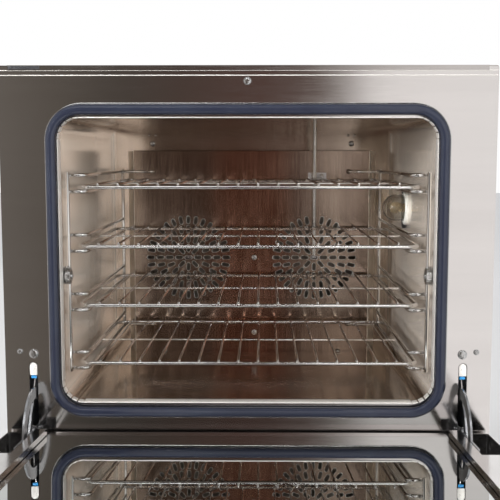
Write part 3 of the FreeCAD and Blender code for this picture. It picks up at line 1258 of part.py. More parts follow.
def build_cross_rails():
    """Folded channels that close the door's inner side below and above the glass."""
    rails = []
    half = "rail_x - 0.4"
    spans = (("bottom", "-door_foot + sheet_wall + 0.1", "glass_bottom - 0.6"),
             ("top", "glass_top + 0.6", "door_top - sheet_wall - 0.1"))
    for tag, low, high in spans:
        outer = slab(f"cross_{tag}_outer", (f"-({half})", half), ("-door_face + sheet_wall", "door_inner"),
                     (low, high))
        inner = slab(f"cross_{tag}_inner", (f"-({half}) - 1", f"{half} + 1"),
                     ("-door_face", "door_inner - sheet_wall"),
                     (f"{low} + sheet_wall", f"{high} - sheet_wall"))
        rails.append(cut(f"cross_{tag}", outer, inner))
    node("door_cross_rails", hang(group("cross_rail_pair", *rails)))


def build_handle():
    """Bow handle of bent tube on two rosettes."""
    face, out = "-door_face - 5", "-door_face - handle_reach"
    half = "handle_span / 2"
    bar = bent_tube("handle_bar", [(f"-({half})", face, "handle_height"),
                                   (f"-({half})", out, "handle_height"),
                                   (half, out, "handle_height"), (half, face, "handle_height")],
                    "handle_bend", "handle_radius", HANDLE_SIDES, steps=4)
    node("door_handle", hang(group("handle_set", bar)))
    rosettes = [rod(f"rosette_{label}", "Y", "rosette_radius",
                    (f"{side} * handle_span / 2", f"{face}", "handle_height"), "5", FINE)
                for label, side in SIDES.items()]
    node("handle_rosettes", hang(group("rosette_pair", *rosettes)))


def check_and_write():
    """Stops on any failed object, then writes one file per sub-part."""
    DOC.recompute()
    for item in DOC.Objects:
        faults = [word for word in item.State if word in ("Invalid", "Error")]
        if faults:
            raise RuntimeError(f"{item.Name}: {faults}")
    os.makedirs("parts", exist_ok=True)
    for name, item in NODES.items():
        shape = item.Shape
        if shape.isNull() or not shape.isValid() or not shape.Solids:
            raise RuntimeError(f"{name} has no valid solid")
        shape.exportStep(os.path.join("parts", name + ".step"))
    print(len(NODES), "sub-parts written")


def main():
    """Builds every sub-part and writes the files."""
    for build in (build_feet, build_base, build_wrap, build_rear_cover, build_front_frame, build_liner,
                  build_insulation, build_gasket, build_baffle, build_heaters, build_fans, build_racks,
                  build_fixings, build_shelves, build_tube, build_valve, build_lamp, build_screws,
                  build_controls, build_services, build_receivers, build_arms, build_door):
        build()
    check_and_write()


main()
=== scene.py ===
"""Visual model of a countertop convection oven with its door let down.

Lengths in the classes are millimetres: x to the right, depth back from the front plane, and
height above the counter. The door's pieces are laid out as on the closed door and then let down.
The studio's lengths are metres in the frame.
"""
import logging
import math
from dataclasses import dataclass
from enum import Enum

import bmesh
import bpy
from mathutils import Matrix, Vector


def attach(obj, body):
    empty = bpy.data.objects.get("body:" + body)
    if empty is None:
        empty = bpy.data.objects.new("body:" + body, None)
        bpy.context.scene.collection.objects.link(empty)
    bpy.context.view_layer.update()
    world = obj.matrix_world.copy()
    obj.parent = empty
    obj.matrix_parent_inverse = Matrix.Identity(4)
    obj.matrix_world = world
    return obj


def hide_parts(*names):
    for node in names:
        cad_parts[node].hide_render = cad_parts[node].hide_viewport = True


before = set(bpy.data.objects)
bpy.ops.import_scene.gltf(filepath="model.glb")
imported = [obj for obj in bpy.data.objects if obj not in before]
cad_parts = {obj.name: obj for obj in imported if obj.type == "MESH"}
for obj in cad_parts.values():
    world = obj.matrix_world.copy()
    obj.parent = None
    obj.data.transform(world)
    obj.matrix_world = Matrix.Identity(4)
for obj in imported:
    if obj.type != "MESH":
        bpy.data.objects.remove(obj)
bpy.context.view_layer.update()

LOG = logging.getLogger("oven")

MM = 0.001
FRONT_PLANE = -71.4
HINGE_DEPTH = -14.0
HINGE_HEIGHT = 128.0
DOOR_DROP = math.radians(86.6)
SHARP = math.radians(34)
SIDES = (("left", -1), ("right", 1))
RUNG_LOWEST = 198.6
SHELF_PITCH = 75.4
PAIR_GAP = 20.6
RUNG_TOP = RUNG_LOWEST + 3 * SHELF_PITCH + PAIR_GAP
REAR_WALL = 480.0
UP = (0, 0, 1)
LEFTWARD = (-1, 0, 0)
FORWARD = (0, -1, 0)
BACKWARD = (0, 1, 0)
FULL_TURN = 2 * math.pi
WELD_GAP = 0.002
UNIT = (0.0, 1.0)
BAND_SHARE = 0.03
SCRATCH_DEPTH = 0.00004
ROOM = ((0.0, (0.66, 0.64, 0.62)), (0.27, (0.50, 0.47, 0.45)), (0.345, (0.20, 0.18, 0.16)),
        (0.387, (0.13, 0.112, 0.095)), (0.43, (0.072, 0.06, 0.05)),
        (0.493, (0.092, 0.052, 0.042)), (0.524, (0.115, 0.077, 0.067)),
        (0.538, (0.25, 0.22, 0.20)), (0.556, (1.0, 0.96, 0.94)), (0.7, (1.0, 0.98, 0.97)),
        (0.85, (0.8, 0.79, 0.78)), (1.0, (0.7, 0.7, 0.7)))


class Placing(Enum):
    """Which part of the oven a piece's lengths are measured on."""

    BODY = "body"
    DOOR = "door"


class Lay(Enum):
    """Direction in which a sheet was brushed or a part was drawn."""

    ACROSS = (0.035, 1.0, 1.0)
    UPRIGHT = (1.0, 1.0, 0.035)
    LEVEL = (0.03, 0.16, 1.0)
    NONE = (0.6, 0.6, 0.6)


def placing_matrix(placing: Placing) -> Matrix:
    """Matrix from a piece's millimetres to the frame's metres.

    Args:
        placing: what the piece is laid out on.

    Returns:
        The matrix that puts the piece in its place at rest.
    """
    scale = Matrix.Scale(MM, 4)
    front = Matrix.Translation((0, FRONT_PLANE, 0))
    if placing is Placing.BODY:
        return scale @ front
    axis = Matrix.Translation((0, HINGE_DEPTH, HINGE_HEIGHT))
    return scale @ front @ axis @ Matrix.Rotation(DOOR_DROP, 4, "X")


# Shader graphs
class Graph:
    """Small helper that adds linked nodes to one node tree."""

    def __init__(self, tree: bpy.types.NodeTree) -> None:
        """Keeps the tree that the nodes go to."""
        self.tree = tree

    def fill(self, node: bpy.types.Node, inputs: dict) -> None:
        """Fills or links a node's sockets.

        Args:
            node: the node.
            inputs: values or output sockets by socket name or index.
        """
        for name, value in inputs.items():
            if isinstance(value, bpy.types.NodeSocket):
                self.tree.links.new(value, node.inputs[name])
            else:
                node.inputs[name].default_value = value

    def add(self, kind: str, inputs: dict | None = None, **settings: object) -> bpy.types.Node:
        """Adds a shader node, sets its properties and fills its sockets.

        Args:
            kind: the node's type without its prefix.
            inputs: values or output sockets by socket name or index.
            **settings: properties of the node.

        Returns:
            The new node.
        """
        made = self.tree.nodes.new(f"ShaderNode{kind}")
        for name, value in settings.items():
            setattr(made, name, value)
        self.fill(made, inputs or {})
        return made

    def noise(self, **inputs: object) -> bpy.types.NodeSocket:
        """Adds a cloud texture.

        Args:
            **inputs: its sockets by name.

        Returns:
            Its value.
        """
        return self.add("TexNoise", inputs).outputs["Fac"]

    def span(self, value: bpy.types.NodeSocket, start: tuple, end: tuple,
             **settings: object) -> bpy.types.NodeSocket:
        """Maps one span of values onto another.

        Args:
            value: the value to map.
            start: its lowest and highest.
            end: what these become.
            **settings: properties of the node.

        Returns:
            The mapped value.
        """
        inputs = {"Value": value, "From Min": start[0], "From Max": start[1],
                  "To Min": end[0], "To Max": end[1]}
        return self.add("MapRange", inputs, **settings).outputs["Result"]

    def mix(self, share: bpy.types.NodeSocket, *colours: tuple | bpy.types.NodeSocket,
            **settings: object) -> bpy.types.NodeSocket:
        """Mixes two colours.

        Args:
            share: how much there is of the second.
            *colours: the two colours.
            **settings: properties of the node.

        Returns:
            The mixed colour.
        """
        first, second = (part if isinstance(part, bpy.types.NodeSocket) else (*part, 1)
                         for part in colours)
        made = self.add("Mix", {0: share, 6: first, 7: second}, data_type="RGBA", **settings)
        return made.outputs[2]

    def calc(self, operation: str, *values: float | bpy.types.NodeSocket) -> bpy.types.NodeSocket:
        """Works out one value from others.

        Args:
            operation: the sum to do.
            *values: what goes into it.

        Returns:
            The outcome.
        """
        return self.add("Math", dict(enumerate(values)), operation=operation).outputs[0]


def new_group(name: str, inputs: list, outputs: list) -> tuple:
    """Starts a shader group with named sockets.

    Args:
        name: the group's name.
        inputs: name, socket type and default of each input.
        outputs: names of the values that it gives.

    Returns:
        The group's graph, its given sockets and its output node.
    """
    tree = bpy.data.node_groups.new(name, "ShaderNodeTree")
    for label, kind, default in inputs:
        made = tree.interface.new_socket(label, in_out="INPUT", socket_type=kind)
        if default is not None:
            made.default_value = default
    for label in outputs:
        tree.interface.new_socket(label, in_out="OUTPUT", socket_type="NodeSocketFloat")
    given = tree.nodes.new("NodeGroupInput").outputs
    return Graph(tree), given, tree.nodes.new("NodeGroupOutput")


def brushing_group() -> bpy.types.NodeTree:
    """Fine parallel scratches and the broad bands that rolling leaves in sheet metal.

    Returns:
        The shader group, built once.
    """
    known = bpy.data.node_groups.get("sheet_brushing")
    if known:
        return known
    graph, given, end = new_group(
        "sheet_brushing",
        [("Vector", "NodeSocketVector", None), ("Stretch", "NodeSocketVector", (1, 1, 1)),
         ("Fineness", "NodeSocketFloat", 900.0)], ["Grain", "Bands"])
    laid = graph.add("VectorMath", {0: given["Vector"], 1: given["Stretch"]},
                     operation="MULTIPLY").outputs[0]
    slow = graph.calc("MULTIPLY", given["Fineness"], BAND_SHARE)
    graph.fill(end, {
        "Grain": graph.noise(Vector=laid, Scale=given["Fineness"], Detail=3.0, Roughness=0.6),
        "Bands": graph.noise(Vector=laid, Scale=slow, Detail=5.0, Roughness=0.55)})
    return graph.tree


def handling_group() -> bpy.types.NodeTree:
    """Soft cloudy marks left by wiping and by hands.

    Returns:
        The shader group, built once.
    """
    known = bpy.data.node_groups.get("handling_marks")
    if known:
        return known
    graph, given, end = new_group(
        "handling_marks",
        [("Vector", "NodeSocketVector", None), ("Size", "NodeSocketFloat", 7.0)], ["Marks"])
    cloud = graph.noise(Vector=given["Vector"], Scale=given["Size"], Detail=6.0, Roughness=0.62,
                        Distortion=0.6)
    graph.fill(end, {"Marks": graph.span(cloud, (0.45, 0.7), UNIT)})
    return graph.tree


def marks_on(graph: Graph, place: bpy.types.NodeSocket, size: float) -> bpy.types.NodeSocket:
    """Adds the handling marks to a material.

    Args:
        graph: the material's graph.
        place: object coordinates.
        size: how closely the marks follow each other.

    Returns:
        How marked each point is.
    """
    made = graph.add("Group", node_tree=handling_group())
    graph.fill(made, {"Vector": place, "Size": size})
    return made.outputs["Marks"]


# Finishes
@dataclass(frozen=True)
class Finish:
    """Look of a material, built once."""

    name: str

    def material(self) -> bpy.types.Material:
        """Builds the material, or gives back the one that is there.

        Returns:
            The material.
        """
        known = bpy.data.materials.get(self.name)
        if known:
            return known
        made = bpy.data.materials.new(self.name)
        made.use_nodes = True
        graph = Graph(made.node_tree)
        place = graph.add("TexCoord").outputs["Object"]
        graph.fill(made.node_tree.nodes["Principled BSDF"], self.looks(graph, place))
        return made

    def looks(self, graph: Graph, place: bpy.types.NodeSocket) -> dict:
        """Says what goes into the Principled shader.

        Args:
            graph: the material's graph.
            place: object coordinates.

        Returns:
            Values and sockets by the shader's socket names.
        """
        raise NotImplementedError


@dataclass(frozen=True)
class Steel(Finish):
    """Sheet, wire or turned metal with a brushed or polished finish."""

    light: tuple = (0.62, 0.60, 0.58)
    dark: tuple = (0.50, 0.48, 0.46)
    rough: tuple = (0.16, 0.28)
    lay: Lay = Lay.UPRIGHT
    fineness: float = 900.0
    relief: float = 0.25
    marks: float = 0.06
    metallic: float = 1.0

    def looks(self, graph: Graph, place: bpy.types.NodeSocket) -> dict:
        """Grain, slow bands and handling marks on bare metal.

        Args:
            graph: the material's graph.
            place: object coordinates.

        Returns:
            Values and sockets by the shader's socket names.
        """
        brushed = graph.add("Group", node_tree=brushing_group())
        graph.fill(brushed, {"Vector": place, "Stretch": self.lay.value,
                             "Fineness": self.fineness})
        grain = brushed.outputs["Grain"]
        bands = graph.span(brushed.outputs["Bands"], (0.32, 0.68), UNIT)
        sheen = graph.span(grain, (0.3, 0.7), self.rough)
        marks = marks_on(graph, place, 7.0)
        bump = graph.add("Bump", {"Height": grain, "Strength": self.relief,
                                  "Distance": SCRATCH_DEPTH})
        return {"Base Color": graph.mix(bands, self.dark, self.light),
                "Roughness": graph.calc("MULTIPLY_ADD", marks, self.marks, sheen),
                "Normal": bump.outputs["Normal"], "Metallic": self.metallic}


@dataclass(frozen=True)
class WallSteel(Steel):
    """Steel whose two side walls are coarser than the rest and get painted light, a paler colour.
    """

    wall_x: float = 0.2355
    fade: float = 0.007
    # colour of the painted light on the side walls
    pale: tuple = (0.95, 0.86, 0.76)
    coarse: float = 0.05
    bare: float = 0.58
    tint: tuple = (1.0, 1.0, 1.0)
    tint_x: float = 0.05

    def looks(self, graph: Graph, place: bpy.types.NodeSocket) -> dict:
        """Steel with painted light on the side walls, which are paler, and a tint in the middle.

        Args:
            graph: the material's graph.
            place: object coordinates.

        Returns:
            Values and sockets by the shader's socket names.
        """
        plain = super().looks(graph, place)
        axes = graph.add("SeparateXYZ", {0: place})
        aside = graph.calc("ABSOLUTE", axes.outputs["X"])
        # mask of the side walls: painted light as a paler colour, with less metal and more
        # roughness
        wall = graph.span(aside, (self.wall_x - self.fade, self.wall_x), UNIT)
        middle = graph.span(aside, (self.tint_x * 0.35, self.tint_x), (1.0, 0.0),
                            interpolation_type="SMOOTHSTEP")
        tinted = graph.mix(middle, plain["Base Color"], self.tint, blend_type="MULTIPLY")
        return {**plain, "Base Color": graph.mix(wall, tinted, self.pale),
                "Roughness": graph.calc("MULTIPLY_ADD", wall, self.coarse, plain["Roughness"]),
                "Metallic": graph.span(wall, UNIT, (1.0, self.bare))}


@dataclass(frozen=True)
class Solid(Finish):
    """Rubber, plastic, enamel, ceramic or mineral wool."""

    colour: tuple
    shade: tuple
    rough: tuple = (0.4, 0.6)
    grain: float = 1500.0
    relief: float = 0.3
    depth: float = 0.0001
    coat: float = 0.0

    def looks(self, graph: Graph, place: bpy.types.NodeSocket) -> dict:
        """Fine pores under handling marks.

        Args:
            graph: the material's graph.
            place: object coordinates.

        Returns:
            Values and sockets by the shader's socket names.
        """
        pores = graph.noise(Vector=place, Scale=self.grain, Detail=3.0)
        marks = marks_on(graph, place, 24.0)
        bump = graph.add("Bump", {"Height": pores, "Strength": self.relief,
                                  "Distance": self.depth})
        return {"Base Color": graph.mix(marks, self.colour, self.shade),
                "Roughness": graph.span(marks, UNIT, self.rough),
                "Normal": bump.outputs["Normal"], "Coat Weight": self.coat}


@dataclass(frozen=True)
class Pane(Finish):
    """Clear glass, or glass with a mirror coating when its metallic share is high."""

    tint: tuple = (0.96, 0.98, 0.97)
    transmission: float = 1.0
    metallic: float = 0.0
    rough: float = 0.01
    smear: float = 0.03

    def looks(self, graph: Graph, place: bpy.types.NodeSocket) -> dict:
        """Glass with faint smears.

        Args:
            graph: the material's graph.
            place: object coordinates.

        Returns:
            Values and sockets by the shader's socket names.
        """
        marks = marks_on(graph, place, 9.0)
        film = (self.rough, self.rough + self.smear)
        return {"Base Color": graph.mix(marks, self.tint, [0.96 * part for part in self.tint]),
                "Roughness": graph.span(marks, UNIT, film), "IOR": 1.5,
                "Transmission Weight": self.transmission, "Metallic": self.metallic}


@dataclass(frozen=True)
class Ground(Finish):
    """Matt pale floor."""

    def looks(self, graph: Graph, place: bpy.types.NodeSocket) -> dict:
        """Even paint with slight clouds.

        Args:
            graph: the material's graph.
            place: object coordinates.

        Returns:
            Values and sockets by the shader's socket names.
        """
        cloud = graph.noise(Vector=place, Scale=3.0, Detail=4.0)
        return {"Base Color": graph.mix(cloud, (0.76, 0.76, 0.76), (0.80, 0.80, 0.80)),
                "Roughness": 0.8}


CASING = Steel("brushed_casing", (0.73, 0.71, 0.70), (0.69, 0.67, 0.66), (0.07, 0.12), Lay.ACROSS,
               relief=0.06, marks=0.04)
CASING_TOP = Steel("brushed_wrap", (0.58, 0.56, 0.545), (0.54, 0.52, 0.505), (0.12, 0.2),
                   Lay.LEVEL, relief=0.06)
CHASSIS = Steel("plated_chassis", (0.55, 0.56, 0.58), (0.45, 0.46, 0.48), (0.3, 0.45), Lay.NONE,
                300.0)
# the liner's side walls are painted lighter than its rear wall, standing in for the light that
# falls on them
LINER = WallSteel("polished_liner", (0.68, 0.58, 0.49), (0.55, 0.46, 0.38), (0.08, 0.16),
                  Lay.UPRIGHT, 700.0, 0.08)
# pale, part-metal steel: on the opening lip, the vent rims and the folded edges its paleness is a
# painted highlight; the hinge noses take it as their own pale colour
PALE_STEEL_AND_HIGHLIGHT = Steel("pale_steel_and_painted_highlight", (0.86, 0.83, 0.79), (0.76, 0.73, 0.69), (0.25, 0.4), Lay.NONE, 900.0,
            0.05, metallic=0.6)
# near-black colour of the discs behind the vents: painted shade in the fan chambers
SHADE_DISC = Steel("painted_shade_disc", (0.16, 0.13, 0.11), (0.09, 0.075, 0.065), (0.4, 0.6), Lay.NONE,
               300.0, 0.2)
CLIP_BLUE = Solid("hinge_clip_blue", (0.02, 0.16, 0.36), (0.015, 0.11, 0.27), (0.3, 0.45), 2000.0,
                  0.2)
# the baffle's swept-back flanges get painted light: a paler, less metallic colour than the plate
BAFFLE = WallSteel("polished_baffle", (0.60, 0.49, 0.40), (0.30, 0.22, 0.175), (0.09, 0.18),
                   Lay.UPRIGHT, 420.0, 0.2,
                   wall_x=0.1888, fade=0.0006, pale=(0.92, 0.84, 0.74), coarse=0.08, bare=0.5,
                   tint=(1.08, 0.80, 0.70), tint_x=0.085)
CHROME = Steel("bright_wire", (0.88, 0.87, 0.86), (0.78, 0.77, 0.76), (0.03, 0.08), Lay.NONE,
               400.0, 0.03)
FIXING = Steel("turned_fixing", (0.72, 0.72, 0.71), (0.55, 0.55, 0.55), (0.14, 0.26), Lay.NONE,
               1200.0, 0.1)
DOOR_STEEL = Steel("brushed_door", (0.72, 0.70, 0.69), (0.67, 0.65, 0.64), (0.1, 0.17),
                   Lay.ACROSS, relief=0.06, marks=0.04)
HANDLE = Steel("satin_handle", (0.66, 0.65, 0.64), (0.56, 0.55, 0.54), (0.16, 0.26), Lay.ACROSS,
               1200.0, 0.15)
HINGE = Steel("hinge_steel", (0.62, 0.63, 0.65), (0.42, 0.43, 0.45), (0.22, 0.4), Lay.NONE, 500.0,
              0.4)
ELEMENT = Steel("heat_tinted_element", (0.34, 0.27, 0.22), (0.2, 0.17, 0.16), (0.3, 0.5),
                Lay.NONE, 500.0)
FAN = Steel("stamped_fan", (0.40, 0.36, 0.32), (0.28, 0.25, 0.22), (0.26, 0.4), Lay.NONE, 600.0)
MOTOR = Solid("motor_lacquer", (0.09, 0.10, 0.11), (0.06, 0.065, 0.07), (0.35, 0.5), coat=0.2)
BRASS = Steel("valve_brass_finish", (0.72, 0.55, 0.28), (0.58, 0.42, 0.2), (0.2, 0.34), Lay.NONE,
              900.0, 0.1)
GASKET = Solid("slate_silicone", (0.012, 0.014, 0.024), (0.015, 0.018, 0.029), (0.12, 0.2), 900.0,
               0.08)
PLASTIC = Solid("moulded_black", (0.022, 0.022, 0.024), (0.03, 0.03, 0.032), (0.32, 0.5), 2500.0,
                0.3)
BUTTON = Solid("moulded_grey", (0.12, 0.125, 0.13), (0.15, 0.155, 0.16), (0.3, 0.45), 2500.0, 0.25)
PILOT = Solid("pilot_lens", (0.75, 0.28, 0.05), (0.65, 0.2, 0.03), (0.1, 0.18), 800.0, 0.1,
              coat=0.8)
WOOL = Solid("mineral_wool", (0.62, 0.55, 0.36), (0.5, 0.44, 0.28), (0.9, 1.0), 350.0, 1.0, 0.002)
CERAMIC = Solid("holder_porcelain", (0.78, 0.76, 0.70), (0.7, 0.67, 0.6), (0.3, 0.5), 500.0, 0.2,
                coat=0.3)
BULB = Pane("bulb_amber", (0.95, 0.80, 0.55), 0.9)
LAMP_GLASS = Pane("clear_dome", (0.97, 0.97, 0.95), 1.0, smear=0.05)
OUTER_GLASS = Pane("tinted_pane", (0.35, 0.35, 0.36), 0.9, smear=0.002)
MIRROR = Pane("mirror_pane", (0.60, 0.62, 0.61), 0.0, 1.0, rough=0.008, smear=0.012)
MARKING = Solid("dial_print", (0.05, 0.05, 0.055), (0.07, 0.07, 0.075), (0.5, 0.6), 2500.0, 0.1)


# Mesh tools
def placed(name: str, data: bpy.types.ID) -> bpy.types.Object:
    """Puts data into the scene.

    Args:
        name: the object's name.
        data: its mesh, lamp, camera or text.

    Returns:
        The new object.
    """
    made = bpy.data.objects.new(name, data)
    bpy.context.scene.collection.objects.link(made)
    return made


def facing(axis: tuple | Vector) -> Matrix:
    """Turn that lays the height axis along a direction.

    Args:
        axis: the direction.

    Returns:
        The turn.
    """
    return Vector(UP).rotation_difference(Vector(axis)).to_matrix().to_4x4()


def arc(across: float, along: float, start: float, turns: range) -> list:
    """Points on a round or oval arc.

    Args:
        across: its radius sideways.
        along: its radius in height.
        start: height of its middle.
        turns: directions of the points in degrees.

    Returns:
        Pairs of sideways place and height.
    """
    return [(across * math.cos(math.radians(turn)), start + along * math.sin(math.radians(turn)))
            for turn in turns]


def edges_of(verts: list) -> list:
    """Edges that meet at vertices, each of them once.

    Args:
        verts: the vertices.

    Returns:
        Their edges.
    """
    return list(dict.fromkeys(edge for vert in verts for edge in vert.link_edges))


def rim_of(parts: list) -> tuple:
    """Sorts new geometry into its vertices and the edges between them.

    Args:
        parts: what a mesh operator made.

    Returns:
        The vertices and the edges.
    """
    verts = [part for part in parts if isinstance(part, bmesh.types.BMVert)]
    known = set(verts)
    return verts, [part for part in parts if isinstance(part, bmesh.types.BMEdge)
                   and known.issuperset(part.verts)]


class Shape:
    """Mesh under construction, in the lengths of one placing."""

    def __init__(self, placing: Placing = Placing.BODY) -> None:
        """Starts an empty mesh.

        Args:
            placing: what the lengths are measured on.
        """
        self.mesh = bmesh.new()
        self.placing = placing

    def ring(self, centre: tuple | Vector, direction: tuple | Vector, radius: float,
             sides: int) -> list:
        """Adds an open circle of edges square to a direction.

        Args:
            centre: middle of the ring.
            direction: the ring's axis.
            radius: its radius.
            sides: number of edges.

        Returns:
            The ring's edges.
        """
        place = Matrix.Translation(centre) @ facing(direction)
        made = bmesh.ops.create_circle(self.mesh, cap_ends=False, segments=sides, radius=radius,
                                       matrix=place)
        return edges_of(made["verts"])

    def drawn_on(self, edges: list, step: tuple | Vector, grow: float = 1.0) -> list:
        """Extrudes open edges by a step and scales the new ones about their middle.

        Args:
            edges: edges to extrude.
            step: how far the new edges move.
            grow: scale of the new edges.

        Returns:
            The new edges.
        """
        made = bmesh.ops.extrude_edge_only(self.mesh, edges=edges)["geom"]
        verts, rim = rim_of(made)
        middle = sum((vert.co for vert in verts), Vector()) / len(verts)
        for vert in verts:
            vert.co = middle + (vert.co - middle) * grow + Vector(step)
        return rim

    def spun(self, parts: list, centre: tuple | Vector, axis: Vector, angle: float, steps: int,
             joined: bool = False) -> list:
        """Turns loose geometry round an axis and keeps what it sweeps.

        Args:
            parts: vertices and edges to turn.
            centre: a point on the axis.
            axis: the axis.
            angle: how far they turn, in radians.
            steps: number of rows of faces.
            joined: whether the end meets the start.

        Returns:
            The geometry at the far end.
        """
        return bmesh.ops.spin(self.mesh, geom=parts, cent=centre, axis=axis, dvec=Vector(),
                              angle=angle, steps=steps, use_merge=joined, use_normal_flip=False,
                              use_duplicate=False)["geom_last"]

    def wire(self, points: list, radius: float, bend: float = 0.0, sides: int = 12,
             closed: bool = False, steps: int = 5, rounded: bool = True,
             section: list | None = None) -> None:
        """Draws a round bar along straight runs with bent corners.

        Args:
            points: corners of the centre line.
            radius: radius of the bar.
            bend: radius of the centre line at each corner.
            sides: sides of the bar.
            closed: whether the last run joins the first.
            steps: rows of faces in each bend.
            rounded: whether open ends are domed.
            section: edges of another section, already at the start.
        """
        route = [Vector(point) for point in points]
        if closed:
            route = [(route[0] + route[1]) / 2, *route[1:], route[0], (route[0] + route[1]) / 2]
        way = (route[1] - route[0]).normalized()
        first = section or self.ring(route[0], way, radius, sides)
        edges, place = first, route[0]
        for index in range(1, len(route)):
            if index == len(route) - 1:
                edges = self.drawn_on(edges, route[index] - place)
                break
            onward = (route[index + 1] - route[index]).normalized()
            turn = way.angle(onward)
            trim = bend * math.tan(turn / 2)
            edges = self.drawn_on(edges, route[index] - way * trim - place)
            place = route[index] - way * trim
            inward = (onward - way * onward.dot(way)).normalized()
            middle = place + inward * bend
            edges = rim_of(self.spun(edges, middle, way.cross(onward), turn, steps))[1]
            place = route[index] + onward * trim
            way = onward
        if closed:
            return
        start_way = (route[0] - route[1]).normalized()
        for end, outward in ((first, start_way), (edges, way)):
            if rounded:
                end = self.drawn_on(end, outward * radius * 0.22, 0.86)
                end = self.drawn_on(end, outward * radius * 0.14, 0.62)
            bmesh.ops.edgeloop_fill(self.mesh, edges=end)

    def turned(self, profile: list, origin: tuple | Vector, axis: tuple | Vector,
               steps: int = 32) -> None:
        """Turns a profile of radius and height round an axis.

        Args:
            profile: pairs of radius and height along the axis.
            origin: where height is nought.
            axis: direction of the height.
            steps: faces round the shape.
        """
        place = Matrix.Translation(origin) @ facing(axis)
        verts = [self.mesh.verts.new(place @ Vector((radius, 0, height)))
                 for radius, height in profile]
        edges = [self.mesh.edges.new(pair) for pair in zip(verts, verts[1:])]
        self.spun([*verts, *edges], origin, place.to_3x3() @ Vector(UP), FULL_TURN, steps, True)

    def cube(self, place: Matrix, size: tuple | Vector) -> list:
        """Adds a cube stretched to three sizes.

        Args:
            place: where its middle goes and how it is turned.
            size: its sizes.

        Returns:
            Its vertices.
        """
        return bmesh.ops.create_cube(self.mesh, size=1.0,
                                     matrix=place @ Matrix.Diagonal((*size, 1.0)))["verts"]

    def soften(self, edges: list, radius: float, segments: int = 2) -> None:
        """Rounds edges off.

        Args:
            edges: the edges.
            radius: how far the rounding reaches.
            segments: rows of faces on each edge.
        """
        bmesh.ops.bevel(self.mesh, geom=edges, offset=radius, offset_type="OFFSET",
                        segments=segments, profile=0.5, affect="EDGES", clamp_overlap=True,
                        material=-1)

    def block(self, low: tuple, high: tuple, edge: float, segments: int = 2) -> None:
        """Adds a block between two corners, with softened edges.

        Args:
            low: lowest corner.
            high: highest corner.
            edge: radius of the edges.
            segments: rows of faces on each edge.
        """
        low, high = Vector(low), Vector(high)
        verts = self.cube(Matrix.Translation((low + high) / 2), high - low)
        self.soften(edges_of(verts), edge, segments)

    def cut_out(self, outline: list, step: Vector, edge: float) -> None:
        """Extrudes a flat outline into a plate.

        Args:
            outline: corners of the outline.
            step: thickness and direction.
            edge: radius of the two rims.
        """
        face = self.mesh.faces.new([self.mesh.verts.new(corner) for corner in outline])
        made = bmesh.ops.extrude_face_region(self.mesh, geom=[face])["geom"]
        moved, rim = rim_of(made)
        bmesh.ops.translate(self.mesh, vec=step, verts=moved)
        self.soften([*face.edges, *rim], edge)

    def data(self, name: str) -> bpy.types.Mesh:
        """Closes the mesh in the frame's metres.

        Args:
            name: the mesh's name.

        Returns:
            The finished mesh.
        """
        bmesh.ops.recalc_face_normals(self.mesh, faces=self.mesh.faces)
        self.mesh.transform(placing_matrix(self.placing))
        data = bpy.data.meshes.new(name)
        self.mesh.to_mesh(data)
        self.mesh.free()
        return data

    def piece(self, name: str, finish: Finish, body: str, slot: str,
              *instead_of: str) -> bpy.types.Object:
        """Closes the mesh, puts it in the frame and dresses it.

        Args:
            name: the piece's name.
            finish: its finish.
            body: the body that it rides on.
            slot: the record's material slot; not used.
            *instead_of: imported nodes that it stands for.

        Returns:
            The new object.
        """
        bmesh.ops.remove_doubles(self.mesh, verts=self.mesh.verts, dist=WELD_GAP)
        data = self.data(name)
        data.polygons.foreach_set("use_smooth", [True] * len(data.polygons))
        data.set_sharp_from_angle(angle=SHARP)
        data.materials.append(finish.material())
        made = placed(name, data)
        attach(made, body)
        if instead_of:
            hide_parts(*instead_of)
        LOG.info("%s: %d faces on %s", name, len(data.polygons), body)
        return made


def dress(finish: Finish, *nodes: str) -> None:
    """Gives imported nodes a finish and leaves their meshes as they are.

    Args:
        finish: the finish.
        *nodes: the nodes' names.
    """
    for node in nodes:
        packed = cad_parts[node]
        if not packed.material_slots:
            packed.data.materials.append(finish.material())
        for place in packed.material_slots:
            place.material = finish.material()
    LOG.info("%s on %s", finish.name, ", ".join(nodes))


def carved(made: bpy.types.Object, tool: Shape) -> None:
    """Cuts a shape out of a piece for good.

    Args:
        made: the piece.
        tool: the shape that is cut away.
    """
    data = tool.data("tool")
    cutter = placed("tool", data)
    step = made.modifiers.new("cut", "BOOLEAN")
    step.operation, step.solver, step.use_self = "DIFFERENCE", "EXACT", True
    step.object = cutter
    graph = bpy.context.evaluated_depsgraph_get()
    result = bpy.data.meshes.new_from_object(made.evaluated_get(graph))
    made.modifiers.clear()
    old, made.data = made.data, result
    bpy.data.meshes.remove(old)
    bpy.data.objects.remove(cutter)
    bpy.data.meshes.remove(data)
    made.data.set_sharp_from_angle(angle=SHARP)


def pan_head(shape: Shape, tool: Shape, place: tuple, axis: tuple, radius: float,
             height: float) -> None:
    """Adds a domed screw head and the cross that a driver fits.

    Args:
        shape: mesh that gets the head.
        tool: mesh that gets the cross.
        place: middle of the head's seat.
        axis: direction that the head faces.
        radius: radius of the head.
        height: height of the head.
    """
    place, axis = Vector(place), Vector(axis).normalized()
    dome = ((1, 0), (1, 0.35), (0.93, 0.62), (0.74, 0.86), (0.42, 0.98), (0, 1))
    shape.turned([(0, 0), *((radius * across, height * up) for across, up in dome)], place,
                 axis, 24)
    top = Matrix.Translation(place + axis * height) @ facing(axis)
    for quarter in (0.3, 0.3 + math.pi / 2):
        tool.cube(top @ Matrix.Rotation(quarter, 4, "Z"), (radius * 1.15, radius * 0.26, height))


